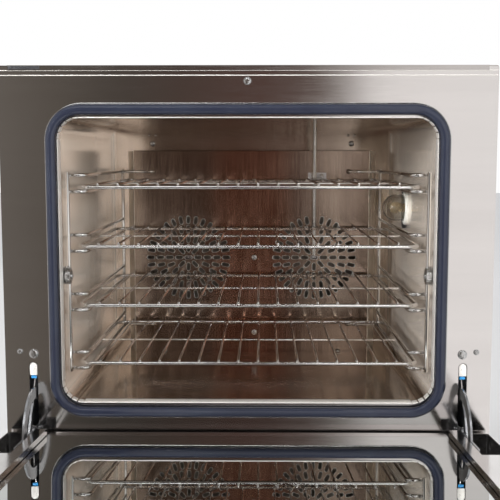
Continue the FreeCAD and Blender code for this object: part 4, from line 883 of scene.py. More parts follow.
# Sub-assemblies
@dataclass
class Cavity:
    """Liner, door seal, screws and steam tube inside the oven."""

    seal_inner: tuple = (230.2, 161.0, 518.0)
    seal_width: float = 13.0
    seal_height: float = 12.0
    seal_corner: float = 43.0
    lip: tuple = (229.4, 165.6, 515.4, 26.0)
    flap_height: float = 485.0
    rear_screw_x: float = 168.0
    screw: tuple = (4.7, 2.4)
    tube_x: float = 101.0
    tube_radius: float = 3.15
    tube_top: float = 562.0
    tube_depth: float = 381.0

    def build(self) -> None:
        """Builds every piece of the cavity."""
        dress(LINER, "cavity_liner")
        dress(WOOL, "insulation")
        dress(FIXING, "tube_clamp")
        self.build_flap()
        self.build_seal()
        self.build_lip()
        self.build_tube()
        self.build_screws()

    def build_flap(self) -> None:
        """Flush flap that closes the steam outlet, and the rivets above the rear screws."""
        flap = Shape()
        flap.turned([(0, 0), (13.35, 0), (13.35, -1.2), (0, -1.2)],
                    (0, REAR_WALL + 0.05, self.flap_height), FORWARD, 40)
        made = flap.piece("outlet_flap", LINER, "oven", "cavity_steel")
        for face in made.data.polygons:
            face.use_smooth = False
        rivets = Shape()
        for _, side in SIDES:
            for offset in (-5.5, 5.5):
                rivets.turned([(0, 0), (2.1, 0), (1.9, 0.7), (1.1, 1.2), (0, 1.4)],
                              (side * self.rear_screw_x + offset, REAR_WALL, 505), FORWARD, 16)
        rivets.piece("rear_rivets", FIXING, "oven", "fixing_steel")

    def build_seal(self) -> None:
        """Soft seal with a rounded section round the opening, and the bright rim round it."""
        half, low, high = self.seal_inner
        middle = self.seal_width / 2
        reach = self.seal_height
        shape = Shape()
        x, bottom, top = half + middle, low - middle, high + middle
        start = Vector((0, -reach / 2, bottom))
        section = shape.ring(start, (1, 0, 0), 1.0, 24)
        for vert in dict.fromkeys(vert for edge in section for vert in edge.verts):
            across, out = vert.co.z - bottom, -(vert.co.y + reach / 2)
            width = middle * math.copysign(abs(across) ** 0.8, across)
            depth = out * reach / 2
            vert.co = Vector((0, -reach / 2 - depth, bottom + width))
        corners = [(0, -reach / 2, bottom), (x, -reach / 2, bottom), (x, -reach / 2, top),
                   (-x, -reach / 2, top), (-x, -reach / 2, bottom), (0, -reach / 2, bottom)]
        shape.wire(corners, 1.0, self.seal_corner - middle, steps=12, rounded=False,
                   section=section)
        shape.piece("door_seal", GASKET, "oven", "gasket_rubber", "door_gasket")
        rim = Shape()
        around = self.seal_width + 0.9
        x, bottom, top = half + around, low - around, high + around
        rim.wire([(-x, -0.9, bottom), (x, -0.9, bottom), (x, -0.9, top), (-x, -0.9, top)], 0.9,
                 self.seal_corner + 0.9, 8, closed=True, steps=12)
        rim.piece("seal_rim", FIXING, "oven", "casing_steel")

    def build_lip(self) -> None:
        """Folded edge of the opening inside the seal, with relief notches at the corners, pale as a
        painted highlight.
        """
        half, low, high, corner = self.lip
        lip = Shape()
        for z in (low, high):
            lip.block((-half + corner, -2.6, z - 0.6), (half - corner, 14, z + 0.6), 0.3)
        for x in (-half, half):
            lip.block((x - 0.6, -2.6, low + corner), (x + 0.6, 14, high - corner), 0.3)
        for right, up in ((-1, -1), (-1, 1), (1, -1), (1, 1)):
            middle = (high if up > 0 else low) - up * corner
            for step in range(5):
                turn = math.radians(9 + 18 * step)
                place = Matrix.Translation((right * (half - corner + corner * math.cos(turn)), 3.7,
                                            middle + up * corner * math.sin(turn)))
                lip.cube(place @ Matrix.Rotation(-right * up * turn, 4, "Y"), (1.2, 10.6, 6.4))
        lip.piece("opening_lip", PALE_STEEL_AND_HIGHLIGHT, "oven", "casing_steel")

    def build_tube(self) -> None:
        """Steam tube down the right half of the baffle, with a flared open end."""
        shape = Shape()
        x, depth = self.tube_x, self.tube_depth
        top = self.tube_top
        shape.wire([(x, depth, 317), (x, depth, top), (240, depth, top), (240, 552, top),
                    (240, 552, 121)], self.tube_radius, 14, 16, steps=6, rounded=False)
        shape.turned([(2.2, 22), (2.2, 6), (2.5, 3), (3.0, 0.4), (3.5, 0), (3.9, 0.5), (3.6, 3.2),
                      (3.2, 6), (self.tube_radius, 8)], (x, depth, 311), UP, 24)
        shape.piece("steam_tube", FIXING, "oven", "fixing_steel", "humidity_tube")

    def build_screws(self) -> None:
        """Domed screws of the baffle, the clamp, the rear wall and the foot flange."""
        heads, tool = Shape(), Shape()
        places = [((5, 388, 184.5 + 122.5 * step), FORWARD) for step in range(3)]
        places.append(((self.tube_x + 11, 386.8, 437), FORWARD))
        for _, side in SIDES:
            places.append(((side * self.rear_screw_x, REAR_WALL, 491), FORWARD))
            places.append(((side * 141, 382, 154.2), UP))
        for place, axis in places:
            pan_head(heads, tool, place, axis, *self.screw)
        made = heads.piece("cavity_pan_heads", FIXING, "oven", "fixing_steel", "cavity_screws")
        carved(made, tool)


@dataclass
class Baffle:
    """Rear plate with the two slotted vents, and what turns and heats behind it."""

    half_width: float = 188.0
    depth: float = 388.0
    wall: float = 1.2
    low: float = 153.0
    high: float = 478.0
    flange: tuple = (18.0, 66.0)
    vent_x: float = 101.5
    vent_height: float = 307.0
    ring_pitch: float = 15.2
    slot_radius: float = 2.7
    slot_reach: float = 3.1
    rack_hole_x: float = 156.0
    element_radius: float = 90.0
    element_depth: float = 430.0
    element_wire: float = 4.0
    lead_x: float = 9.0

    def build(self) -> None:
        """Builds the baffle and dresses what is behind it."""
        self.build_plate()
        self.build_elements()
        dress(FAN, "fan_wheel_left", "fan_wheel_right")
        dress(FIXING, "fan_shaft_left", "fan_shaft_right")
        dress(MOTOR, "fan_motor_left", "fan_motor_right")
        dress(CHASSIS, "motor_plate")
        self.build_shade_discs()
        self.build_rims()

    def build_shade_discs(self) -> None:
        """Dark round disc between each fan wheel and the rear wall, with a rolled rim: painted
        shade of the fan chamber seen through the vent slots.
        """
        shape = Shape()
        for _, side in SIDES:
            shape.turned([(12, 0), (92, 0), (94, 0.8), (95, 3), (96, 3), (95.6, 0.2), (93, -1),
                          (12, -1), (12, 0)], (side * self.vent_x, 476, self.vent_height),
                         FORWARD, 48)
        shape.piece("fan_chamber_shade_discs", SHADE_DISC, "oven", "baffle_steel")

    def build_rims(self) -> None:
        """Pressed rim round every slot of both vents, pale as a painted highlight."""
        shape = Shape()
        for _, side in SIDES:
            for rim in self.vent(shape, side):
                for out, grow in ((-0.3, 1.03), (-0.1, 1.08), (0.38, 1.06)):
                    rim = shape.drawn_on(rim, (0, out, 0), grow)
        shape.piece("vent_rims", PALE_STEEL_AND_HIGHLIGHT, "oven", "baffle_steel")

    def vent(self, shape: Shape, side: int) -> list:
        """Outlines of all slots of one vent, in rings round its middle.

        Args:
            shape: mesh that gets the outlines.
            side: -1 at the left, 1 at the right.

        Returns:
            The edges of each slot.
        """
        places = [(0.0, 0.0)]
        places += [(ring * self.ring_pitch, math.pi / 4 * step / ring)
                   for ring in range(1, 5) for step in range(8 * ring)]
        return [self.slot(shape, side * self.vent_x, *place) for place in places]

    def slot(self, shape: Shape, x: float, radius: float, angle: float) -> list:
        """Rounded slot that points at the middle of its vent.

        Args:
            shape: mesh that gets the outline.
            x: middle of the vent.
            radius: distance of the slot from that middle.
            angle: direction of the slot.

        Returns:
            The outline's edges.
        """
        turn = Matrix.Rotation(math.radians(15), 4, "Z")
        made = bmesh.ops.create_circle(shape.mesh, cap_ends=False, segments=12,
                                       radius=self.slot_radius, matrix=turn)
        place = (Matrix.Translation((x, self.depth, self.vent_height))
                 @ Matrix.Rotation(-angle, 4, "Y") @ Matrix.Translation((radius, 0, 0))
                 @ Matrix.Rotation(math.pi / 2, 4, "X"))
        for vert in made["verts"]:
            vert.co.x += math.copysign(self.slot_reach, vert.co.x)
        bmesh.ops.transform(shape.mesh, matrix=place, verts=made["verts"])
        return edges_of(made["verts"])

    def build_plate(self) -> None:
        """Plate with rounded slots, swept-back flanges and a foot."""
        shape = Shape()
        half, y = self.half_width, self.depth
        corners = [(-half, y, self.low), (half, y, self.low), (half, y, self.high),
                   (-half, y, self.high)]
        verts = [shape.mesh.verts.new(corner) for corner in corners]
        border = [shape.mesh.edges.new((verts[i], verts[(i + 1) % 4])) for i in range(4)]
        holes = []
        for _, side in SIDES:
            holes += sum(self.vent(shape, side), [])
            for height in (RUNG_LOWEST, RUNG_TOP):
                holes += shape.ring((side * self.rack_hole_x, y, height), BACKWARD, 3.5, 16)
        bmesh.ops.triangle_fill(shape.mesh, use_beauty=True, use_dissolve=False,
                                edges=border + holes, normal=FORWARD)
        spread, reach = self.flange
        for edge in (border[1], border[3]):
            side = 1 if edge.verts[0].co.x > 0 else -1
            bent = shape.drawn_on([edge], (side * 1.2, 0.5, 0))
            bent = shape.drawn_on(bent, (side * 0.6, 1.2, 0))
            shape.drawn_on(bent, (side * (spread - 1.8), reach - 1.7, 0))
        foot = shape.drawn_on([border[0]], (0, -0.4, 0.4))
        shape.drawn_on(foot, (0, -11.6, 0.2))
        top = shape.drawn_on([border[2]], (0, 0.8, 0.6))
        shape.drawn_on(top, (0, 9.0, 0.4))
        bmesh.ops.recalc_face_normals(shape.mesh, faces=shape.mesh.faces)
        front = max(shape.mesh.faces, key=lambda face: face.calc_area())
        if front.normal.y > 0:
            bmesh.ops.reverse_faces(shape.mesh, faces=shape.mesh.faces)
        bmesh.ops.solidify(shape.mesh, geom=list(shape.mesh.faces), thickness=self.wall)
        rims = [edge for edge in shape.mesh.edges
                if all(abs(vert.co.y - y) < 0.01 and abs(vert.co.x) < half - 2
                       for vert in edge.verts)
                and len(edge.link_faces) == 2 and edge.calc_face_angle(0.0) > 0.8
                and self.low + 5 < edge.verts[0].co.z < self.high - 5]
        shape.soften(rims, 0.55)
        made = shape.piece("vented_baffle", BAFFLE, "oven", "baffle_steel", "rear_baffle")
        for face in made.data.polygons:
            face.use_smooth = abs(face.normal.y) < 0.999

    def build_elements(self) -> None:
        """Round tubular element behind each vent, on its lead plate."""
        shape = Shape()
        for _, side in SIDES:
            x = side * self.vent_x
            gap = math.asin(self.lead_x / self.element_radius)
            drop = self.element_radius * math.cos(gap)
            low = Vector((x - self.lead_x, self.element_depth, self.vent_height - drop))
            middle = Vector((x, self.element_depth, self.vent_height))
            edges = shape.ring(low, LEFTWARD, self.element_wire, 12)
            far = rim_of(shape.spun(edges, middle, BACKWARD, FULL_TURN - 2 * gap, 56))[1]
            for end, sign in ((edges, -1), (far, 1)):
                bmesh.ops.edgeloop_fill(shape.mesh, edges=end)
                base = Vector((x + sign * self.lead_x, self.element_depth, low.z))
                shape.wire([base, base + Vector((0, 50, 0))], self.element_wire, 0, 12)
            shape.block((x - 22, REAR_WALL - 2, low.z - 12), (x + 22, REAR_WALL, low.z + 12), 0.6)
        shape.piece("ring_elements", ELEMENT, "oven", "element_steel", "heating_elements")


@dataclass
class SideRacks:
    """Wire racks on the cavity's side walls with their thumb nuts."""

    front_depth: float = 42.0
    rear_depth: float = 378.5
    upright_x: float = 227.0
    run_x: float = 205.0
    hook_x: float = 156.0
    wire: float = 2.5
    overhang: float = 3.0

    def build(self) -> None:
        """Builds both racks, their nuts and their studs."""
        for label, side in SIDES:
            shape = Shape()
            for x, depth in ((self.upright_x, self.front_depth), (self.run_x, self.rear_depth)):
                shape.wire([(side * x, depth, RUNG_LOWEST - self.overhang),
                            (side * x, depth, RUNG_TOP + self.overhang)], self.wire)
            for level in range(4):
                for pair in range(2):
                    z = RUNG_LOWEST + level * SHELF_PITCH + pair * PAIR_GAP
                    depth = self.front_depth + 5
                    shape.wire([(side * (self.upright_x + 2.5), depth, z),
                                (side * self.run_x, depth, z),
                                (side * self.run_x, self.rear_depth - 2.5, z)], self.wire, 7)
            for z in (RUNG_LOWEST, RUNG_TOP):
                depth = self.rear_depth + 5
                shape.wire([(side * (self.run_x + 2.5), depth, z), (side * self.hook_x, depth, z),
                            (side * self.hook_x, 397.2, z)], self.wire, 5)
            self.build_tab(shape, side)
            shape.piece(f"wire_rack_{label}", CHROME, "oven", "wire_chrome",
                        f"side_rack_{label}")
        self.build_nuts()

    @staticmethod
    def build_tab(shape: Shape, side: int) -> None:
        """Lug that ties the front upright to its stud.

        Args:
            shape: the rack's mesh.
            side: -1 at the left, 1 at the right.
        """
        for edge, front, rear, rounding in ((234.5, 19.5, 44.5, 0.5), (229.5, 41.4, 43.2, 0.4)):
            inner, outer = sorted((side * edge, side * 235.7))
            shape.block((inner, front, 309.5), (outer, rear, 330.5), rounding)

    def build_nuts(self) -> None:
        """Ridged thumb nuts with a stepped nose, and the studs that they turn on."""
        nuts, studs = Shape(), Shape()
        for _, side in SIDES:
            foot = Vector((side * 234.4, 28, 320))
            for tooth in range(24):
                turn = FULL_TURN * tooth / 24
                middle = foot + Vector((-side * 6.5, math.cos(turn) * 9.7, math.sin(turn) * 9.7))
                nuts.cube(Matrix.Translation(middle) @ Matrix.Rotation(turn, 4, "X"),
                          (12.2, 1.5, 1.3))
            nuts.turned([(3.1, 0), (8.8, 0), (9.7, 0.8), (9.7, 12.2), (8.8, 13), (6.2, 13),
                         (6.2, 12), (3.1, 12)], foot, (-side, 0, 0), 32)
            studs.turned([(0, 0), (6, 0), (6, 3), (3, 3), (3, 19.6), (2.4, 20.6), (0, 20.6)],
                         (side * 240.0, 28, 320), (-side, 0, 0), 20)
        nuts.piece("ridged_nuts", FIXING, "oven", "fixing_steel", "rack_thumb_nuts")
        studs.piece("stud_ends", FIXING, "oven", "fixing_steel", "rack_studs")


@dataclass
class Shelf:
    """Removable wire shelf of one runner level."""

    level: int
    half_width: float = 216.0
    front: float = 50.0
    rear: float = 371.0
    corner: float = 14.0
    frame_wire: float = 2.5
    grid_wire: float = 1.5
    grid_pitch: float = 25.3333
    grid_count: int = 16

    def build(self) -> None:
        """Builds the shelf's frame, its sixteen wires and the bar under them."""
        name = f"shelf_{self.level}"
        z = RUNG_LOWEST + (4 - self.level) * SHELF_PITCH + 5.3
        shape = Shape()
        shape.wire([(-self.half_width, self.front, z), (self.half_width, self.front, z),
                    (self.half_width, self.rear, z), (-self.half_width, self.rear, z)],
                   self.frame_wire, self.corner, 14, closed=True, steps=7)
        for wire in range(self.grid_count):
            x = (wire - (self.grid_count - 1) / 2) * self.grid_pitch
            shape.wire([(x, self.front - 3.2, z + 4), (x, self.rear + 3.2, z + 4)],
                       self.grid_wire, 0, 10)
            for depth in (self.front, self.rear):
                self.weld(shape, Vector((x, depth, z + 2.6)))
        middle = (self.front + self.rear) / 2
        shape.wire([(-self.half_width + 1.5, middle, z + 1),
                    (self.half_width - 1.5, middle, z + 1)], self.grid_wire, 0, 10)
        shape.piece(f"{name}_wires", CHROME, name, "wire_chrome", name)

    @staticmethod
    def weld(shape: Shape, place: Vector) -> None:
        """Small bead where a wire is welded to the frame.

        Args:
            shape: the shelf's mesh.
            place: middle of the bead.
        """
        matrix = Matrix.Translation(place) @ Matrix.Diagonal((2.1, 2.0, 1.0, 1.0))
        bmesh.ops.create_uvsphere(shape.mesh, u_segments=8, v_segments=5, radius=1.0,
                                  matrix=matrix)


@dataclass
class Lamp:
    """Cavity lamp: porcelain holder, amber bulb, clear dome, ring and spring clips."""

    wall: float = 236.0
    depth: float = 300.0
    height: float = 392.0
    radius: float = 20.0
    glass: float = 2.0
    straight: float = 16.5

    def build(self) -> None:
        """Builds the lamp from the wall inwards."""
        origin = Vector((self.wall, self.depth, self.height))
        dress(CERAMIC, "lamp_holder")
        thin, rise = self.radius - self.glass, self.straight
        dome = [(self.radius, 0), (self.radius, rise),
                *arc(self.radius, self.radius, rise, range(10, 90, 10)), (0, 36.5), (0, 34.4),
                *arc(thin, thin - 0.1, rise, range(80, 0, -10)), (thin, rise), (thin, 0),
                (self.radius, 0)]
        bulb = [(0, 27), (3.4, 26.4), (6.4, 24.2), (8.4, 20.5), (8.9, 16.5), (8.0, 11), (6.6, 7),
                (6.4, 4.6)]
        thread = [(6.8 if step % 2 == 0 else 6.2, 3 - 0.8 * step) for step in range(7)]
        base = [(0, 4.4), (6.8, 4.4), *thread, (6.8, -12), (0, -12)]
        for name, finish, slot, profile, steps, *nodes in (
                ("lamp_dome", LAMP_GLASS, "lamp_glass", dome, 40, "lamp_glass"),
                ("lamp_envelope", BULB, "bulb_glass", bulb, 28, "lamp_bulb"),
                ("lamp_screw_base", BRASS, "valve_brass", base, 28)):
            shape = Shape()
            shape.turned(profile, origin, LEFTWARD, steps)
            shape.piece(name, finish, "oven", slot, *nodes)
        self.build_filament(origin)
        self.build_bezel(origin)

    @staticmethod
    def build_filament(origin: Vector) -> None:
        """Two posts with a thin wire bent between them.

        Args:
            origin: middle of the lamp on the wall.
        """
        post = Shape()
        for sign in (-1, 1):
            bends = ((-4.4, sign * 1.6, 0), (-15, sign * 2.6, 0), (-19, sign * 4.4, 0))
            post.wire([origin + Vector(bend) for bend in bends], 0.35, 1.5, 8)
        bends = ((-19, -4.4, 0), (-20.4, 0, 0), (-19, 4.4, 0))
        post.wire([origin + Vector(bend) for bend in bends], 0.22, 1.5, 8)
        post.piece("lamp_filament", FIXING, "oven", "fixing_steel")

    @staticmethod
    def build_bezel(origin: Vector) -> None:
        """Porcelain ring round the dome, and dark spring clips above and below it.

        Args:
            origin: middle of the lamp on the wall.
        """
        ring = Shape()
        ring.turned([(20.3, 0), (26, 0), (26, 2.6), (25.2, 4.2), (23.6, 5), (21.6, 5), (20.3, 4)],
                    origin, LEFTWARD, 48)
        ring.piece("lamp_bezel", CERAMIC, "oven", "holder_ceramic", "lamp_ring")
        clips = Shape()
        for sign in (-1, 1):
            for middle, low, high, edge in (
                    (27.5, (-6.4, -3.5, -3.4), (-0.4, 3.5, 3.4), 0.9),
                    (23.6, (-6.8, -3, -2.6), (-5.2, 3, 2.6), 0.4)):
                place = origin + Vector((0, 0, sign * middle))
                clips.block(place + Vector(low), place + Vector(high), edge)
        clips.piece("lamp_clips", PLASTIC, "oven", "fixing_steel")


@dataclass
class Casing:
    """Outer sheet work, connections, feet and front screws."""

    foot_x: float = 255.0
    foot_depths: tuple = (55.0, 530.0)

    def build(self) -> None:
        """Dresses the sheet work and connections, builds the feet, screws and creases."""
        dress(CASING, "front_frame", "rear_cover")
        dress(CASING_TOP, "outer_wrap")
        dress(CHASSIS, "base_plate", "chassis_rails")
        dress(BRASS, "water_valve")
        dress(FIXING, "steam_outlet")
        dress(PLASTIC, "cable_gland")
        dress(CERAMIC, "terminal_block")
        self.build_feet()
        self.build_screws()
        self.build_creases()

    def build_creases(self) -> None:
        """Folded edges along the top of the front, pale as painted highlights, and a black block in
        the gap at the lip's left end as painted shadow.
        """
        shape = Shape()
        # thin pale bars: painted highlights along the folds
        for height, radius in ((571.0, 0.55), (565.2, 0.6)):
            shape.wire([(-298.5, -radius * 0.3, height), (298.5, -radius * 0.3, height)], radius,
                       sides=10)
        shape.piece("folded_edges", PALE_STEEL_AND_HIGHLIGHT, "oven", "casing_steel")
        # black block where the lip is cut away: painted shadow in that gap
        gap_shadow = Shape()
        gap_shadow.block((-287, -1.7, 571.9), (-249, -0.4, 576.2), 0.4)
        gap_shadow.piece("lip_gap_shadow", PLASTIC, "oven", "black_plastic")

    def build_feet(self) -> None:
        """Rubber feet with a soft rim and a stepped collar."""
        shape = Shape()
        for _, side in SIDES:
            for depth in self.foot_depths:
                shape.turned([(0, 0), (15.4, 0), (16.8, 0.8), (17.2, 2.4), (18.0, 12), (19.0, 13),
                              (19.0, 16), (19.2, 17), (20, 26.5), (19.4, 28), (0, 28)],
                             (side * self.foot_x, depth, 0), UP, 40)
        shape.piece("rubber_feet", PLASTIC, "oven", "black_plastic", "feet")

    def build_screws(self) -> None:
        """Domed screws of the front frame."""
        heads, tool = Shape(), Shape()
        pan_head(heads, tool, (0, 0, 558.5), FORWARD, 4.7, 2.4)
        for _, side in SIDES:
            pan_head(heads, tool, (side * 264.5, 0, 226.3), FORWARD, 5.8, 2.4)
            pan_head(heads, tool, (side * 281.5, 0, 229.3), FORWARD, 3.5, 2.4)
        made = heads.piece("front_pan_heads", FIXING, "oven", "fixing_steel", "frame_screws")
        carved(made, tool)


@dataclass
class Controls:
    """Control panel below the door with two dials, two buttons and two pilot lamps."""

    height: float = 70.0
    knob_x: float = 60.0
    knob_radius: float = 20.0
    button_x: float = 190.0
    pilot_x: float = 150.0

    def build(self) -> None:
        """Builds the knobs, buttons, lamps and printed scales."""
        dress(CASING, "control_panel")
        dress(FIXING, "thermostat", "timer_unit")
        self.build_knob("temperature_knob", self.knob_x)
        self.build_knob("timer_knob", -self.knob_x)
        self.build_scale("temperature_scale", self.knob_x, [str(50 * mark) for mark in range(7)],
                         270)
        self.build_scale("timer_scale", -self.knob_x, [str(10 * mark) for mark in range(12)], 330)
        barrels, lenses = Shape(), Shape()
        for _, side in SIDES:
            x = side * self.button_x
            barrels.turned([(8.3, -2), (10.4, -2), (11, -1.5), (11, 0), (9.1, 0.2), (9.1, 7),
                            (12, 7), (12, 20), (8.3, 20), (8.3, -2)],
                           (x, 0, self.height), BACKWARD, 36)
            lenses.turned([(0, -3.4), (2.6, -3.2), (4.4, -2.4), (5.2, -1.6), (6.5, -1.6),
                           (6.5, 0), (5, 0), (5, 21), (0, 21)],
                          (side * self.pilot_x, 0, self.height), BACKWARD, 32)
            name = "steam_button" if side > 0 else "light_button"
            button = Shape()
            button.turned([(0, -5.2), (4.6, -5.3), (6.6, -5.7), (7.4, -6), (8, -5.4), (8, 12),
                           (0, 12)], (x, 0, self.height), BACKWARD, 36)
            button.piece(f"{name}_cap", BUTTON, name, "button_plastic", name)
        barrels.piece("button_bezels", FIXING, "oven", "fixing_steel", "button_barrels")
        lenses.piece("pilot_lenses", PILOT, "oven", "pilot_plastic", "pilot_lamps")

    def build_knob(self, name: str, x: float) -> None:
        """Moulded knob with a skirt, a bar grip and a light pointer line.

        Args:
            name: the knob's node and body.
            x: where its spindle is.
        """
        shape = Shape()
        shape.turned([(3.2, -1), (19, -1), (20, -1.8), (20, -3.6), (19.2, -4.8), (15, -5.4),
                      (0, -5.6)], (x, 0, self.height), BACKWARD, 48)
        reach = self.knob_radius - 1.5
        half = [(0, reach), (3, reach - 1.2), (4.6, reach - 5), (5.8, reach * 0.4), (6.2, 0)]
        right = half + [(px, -pz) for px, pz in half[-2::-1]]
        left = [(-px, pz) for px, pz in right[-2:0:-1]]
        outline = [Vector((x + px, -5, self.height + pz)) for px, pz in right + left]
        shape.cut_out(outline, Vector((0, -15, 0)), 1.1)
        shape.piece(f"{name}_grip", PLASTIC, name, "black_plastic", name)
        mark = Shape()
        mark.block((x - 0.6, -20.3, self.height + 4), (x + 0.6, -19.7, self.height + reach - 2.4),
                   0.15, 1)
        mark.piece(f"{name}_pointer", CERAMIC, name, "black_plastic")

    def build_scale(self, name: str, x: float, labels: list, sweep: float) -> None:
        """Printed ticks and plain numbers round a knob.

        Args:
            name: the piece's name.
            x: middle of the dial.
            labels: the numbers.
            sweep: degrees from the first to the last.
        """
        shape = Shape()
        middle = Vector((x, 0, self.height))
        for index, label in enumerate(labels):
            turn = math.radians(sweep * index / (len(labels) - 1))
            way = Vector((math.sin(turn), 0, math.cos(turn)))
            tick = middle + Vector((0, -0.05, 0)) + way * 24
            shape.cube(Matrix.Translation(tick) @ Matrix.Rotation(turn, 4, "Y"), (0.6, 0.14, 3.4))
            self.add_number(shape, label, middle + way * 29.5)
        shape.piece(name, MARKING, "oven", "black_plastic")

    @staticmethod
    def add_number(shape: Shape, label: str, place: Vector) -> None:
        """Adds a flat number to the printed scale.

        Args:
            shape: the scale's mesh.
            label: the number.
            place: its middle on the panel.
        """
        text = bpy.data.curves.new("number", "FONT")
        text.body = label
        text.size = 5.0
        text.align_x = text.align_y = "CENTER"
        text.extrude = 0.06
        holder = placed("number", text)
        graph = bpy.context.evaluated_depsgraph_get()
        data = bpy.data.meshes.new_from_object(holder.evaluated_get(graph))
        data.transform(Matrix.Translation(place) @ Matrix.Rotation(math.pi / 2, 4, "X"))
        shape.mesh.from_mesh(data)
        bpy.data.objects.remove(holder)
        bpy.data.curves.remove(text)
        bpy.data.meshes.remove(data)


@dataclass
class Door:
    """Drop-down door with a mirror inner glass, folded rails, hinges and a bow handle."""

    handle_span: float = 430.0
    handle_height: float = 402.0
    handle_out: float = -80.3
    face: float = -32.3
    bar_radius: float = 11.0
    slot_x: float = 265.5
    nose: tuple = (4.6, 199.0, 210.0)

    def build(self) -> None:
        """Dresses the door's sheet work, glass and hinges, and builds the handle."""
        dress(DOOR_STEEL, "door_shell", "door_cross_rails", "door_rail_left", "door_rail_right")
        dress(OUTER_GLASS, "door_outer_glass")
        dress(MIRROR, "door_inner_glass")
        dress(HANDLE, "glass_spacers")
        dress(HINGE, "hinge_arm_left", "hinge_arm_right", "hinge_receiver_left",
              "hinge_receiver_right")
        self.build_handle()
        self.build_hinge_fronts()

    def build_hinge_fronts(self) -> None:
        """Pale nose in the top of each hinge slot, a blue clip under it and the spring rod."""
        noses, clips, rods = Shape(), Shape(), Shape()
        for _, side in SIDES:
            x = side * self.slot_x
            radius, low, high = self.nose
            outline = [*arc(radius, radius, high, range(0, 181, 15)), (-radius, low),
                       (radius, low)]
            outline = [Vector((x + across, 2.2, height)) for across, height in outline]
            noses.cut_out(outline, Vector((0, -2.0, 0)), 0.5)
            clips.block((x - 3.6, 1.6, 194.6), (x + 3.6, 4.4, 198.4), 0.8)
            rods.wire([(x - side * 1.2, 3.4, 197), (x + side * 1.6, 1.9, 170),
                       (x + side * 3.0, 1.9, 141)], 0.9, 20, 10)
        noses.piece("hinge_noses", PALE_STEEL_AND_HIGHLIGHT, "oven", "fixing_steel")
        clips.piece("hinge_clips", CLIP_BLUE, "oven", "button_plastic")
        rods.piece("hinge_spring_rods", CHROME, "oven", "wire_chrome")

    def build_handle(self) -> None:
        """Bow handle of bent tube on turned rosettes."""
        half = self.handle_span / 2
        bar = Shape(Placing.DOOR)
        foot = self.face - 5
        bar.wire([(-half, foot, self.handle_height), (-half, self.handle_out, self.handle_height),
                  (half, self.handle_out, self.handle_height), (half, foot, self.handle_height)],
                 self.bar_radius, 26, 32, steps=12, rounded=False)
        bar.piece("bow_handle", HANDLE, "door", "handle_steel", "door_handle")
        rosettes = Shape(Placing.DOOR)
        for _, side in SIDES:
            rosettes.turned([(0, 0), (15, 0), (15, 2.6), (14.2, 4.2), (12.8, 5), (0, 5)],
                            (side * half, self.face, self.handle_height), FORWARD, 40)
        rosettes.piece("turned_rosettes", HANDLE, "door", "handle_steel", "handle_rosettes")


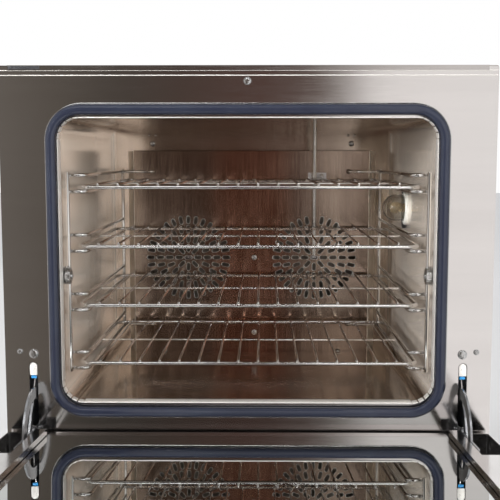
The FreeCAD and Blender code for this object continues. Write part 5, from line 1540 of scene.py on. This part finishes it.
@dataclass
class Studio:
    """Pale floor, soft lamps, surroundings and the camera."""

    lens: float = 70.56
    place: tuple = (0.0184, -1.2614, 0.4669)
    yaw: float = 0.74
    pitch: float = 6.55
    shift: float = 0.041
    floor_reach: float = 12.0
    floor_drop: float = 0.0005
    room_edge: float = -0.15
    room_height: tuple = (0.28, 0.6)
    mirrored_white: float = 0.72

    def build(self) -> None:
        """Builds everything round the oven."""
        self.build_floor()
        self.build_lamps()
        self.build_world()
        self.build_camera()

    def build_floor(self) -> None:
        """Plain pale floor that goes on out of sight."""
        mesh = bmesh.new()
        bmesh.ops.create_grid(mesh, x_segments=1, y_segments=1, size=self.floor_reach)
        data = bpy.data.meshes.new("floor")
        mesh.to_mesh(data)
        mesh.free()
        data.materials.append(Ground("pale_floor").material())
        floor = placed("floor", data)
        floor.location.z = -self.floor_drop
        floor.visible_glossy = False

    def build_lamps(self) -> None:
        """Soft lamps in front, above, behind and at both sides."""
        middle = (0, 0.0, 0.3)
        for row in (("window", (1.7, -2.2, 1.4), (0, 0.1, 0.3), (1.6, 1.8), 9, False),
                    ("front", (-0.8, -1.5, 2.3), middle, (1.3, 0.8), 4),
                    ("strip", (0.1, -1.9, 1.9), middle, (2.2, 0.09), 7),
                    ("left_fill", (-1.7, -2.0, 0.9), (0.2, 0.2, 0.4), (1.0, 1.0), 11, False, 45),
                    ("right_fill", (1.7, -2.0, 0.9), (-0.2, 0.2, 0.4), (1.0, 1.0), 5, False, 45),
                    ("sky", (0, 0.2, 2.6), (0, 0.2, 0.3), (3.0, 2.6), 4, False),
                    ("back", (-1.2, 2.4, 1.6), (0, 0.2, 0.3), (1.6, 1.2), 5, False)):
            self.lamp(*row)

    @staticmethod
    def lamp(name: str, place: tuple, target: tuple, size: tuple, power: float,
             mirrored: bool = True, spread: float = 180) -> None:
        """Adds one soft lamp.

        Args:
            name: its name.
            place: where it stands.
            target: what it faces.
            size: its width and height.
            power: its power in watts.
            mirrored: whether the metal mirrors it.
            spread: how wide its light goes, in degrees.
        """
        light = bpy.data.lights.new(name, "AREA")
        light.shape = "RECTANGLE"
        light.size, light.size_y = size
        light.energy = power
        light.spread = math.radians(spread)
        made = placed(name, light)
        made.location = place
        made.visible_glossy = mirrored
        made.rotation_mode = "QUATERNION"
        way = Vector(target) - Vector(place)
        made.rotation_quaternion = way.to_track_quat("-Z", "Y")

    def build_world(self) -> None:
        """Room that the metal mirrors: dark left of the middle, bright right of it, pale behind."""
        world = bpy.data.worlds.new("room")
        bpy.context.scene.world = world
        world.use_nodes = True
        graph = Graph(world.node_tree)
        axes = graph.add("SeparateXYZ", {0: graph.add("TexCoord").outputs["Generated"]}).outputs
        ramp = graph.add("ValToRGB", {"Fac": graph.span(axes["X"], (-1.0, 1.0), UNIT)})
        band = ramp.color_ramp
        while len(band.elements) < len(ROOM):
            band.elements.new(0.5)
        for element, (position, colour) in zip(band.elements, ROOM):
            element.position = position
            element.color = (*colour, 1)
        height = graph.span(axes["Z"], self.room_height, (1.0, 0.3))
        dimmed = graph.add("VectorMath", {0: ramp.outputs["Color"], "Scale": height},
                           operation="SCALE").outputs[0]
        path = graph.add("LightPath").outputs
        behind = graph.calc("GREATER_THAN", axes["Y"], self.room_edge)
        mirrored = graph.calc("MULTIPLY", behind, path["Is Glossy Ray"])
        softened = graph.calc("MULTIPLY", mirrored, self.mirrored_white)
        seen = graph.calc("MAXIMUM", path["Is Camera Ray"], path["Is Transmission Ray"])
        lit = graph.mix(path["Is Glossy Ray"], (0.82, 0.82, 0.83), dimmed)
        mixed = graph.mix(graph.calc("MAXIMUM", seen, softened), lit, (1.0, 1.0, 1.0))
        graph.fill(world.node_tree.nodes["Background"], {"Color": mixed, "Strength": 1.0})

    def build_camera(self) -> None:
        """Camera at the photograph's height and angle."""
        data = bpy.data.cameras.new("camera")
        data.lens = self.lens
        data.sensor_width = 36.0
        data.shift_y = self.shift
        data.clip_start, data.clip_end = 0.02, 60
        made = placed("camera", data)
        made.location = self.place
        made.rotation_euler = (math.radians(90 - self.pitch), 0, math.radians(self.yaw))
        bpy.context.scene.camera = made


def main() -> None:
    """Builds the studio and the oven."""
    logging.basicConfig(level=logging.INFO, format="%(name)s %(message)s", force=True)
    bpy.context.scene.view_settings.view_transform = "Standard"
    Studio().build()
    assemblies = [Casing(), Cavity(), Baffle(), SideRacks(),
                  *(Shelf(level) for level in range(1, 5)), Lamp(), Controls(), Door()]
    for assembly in assemblies:
        LOG.info("building %s", type(assembly).__name__)
        assembly.build()


if __name__ == "__main__":
    main()
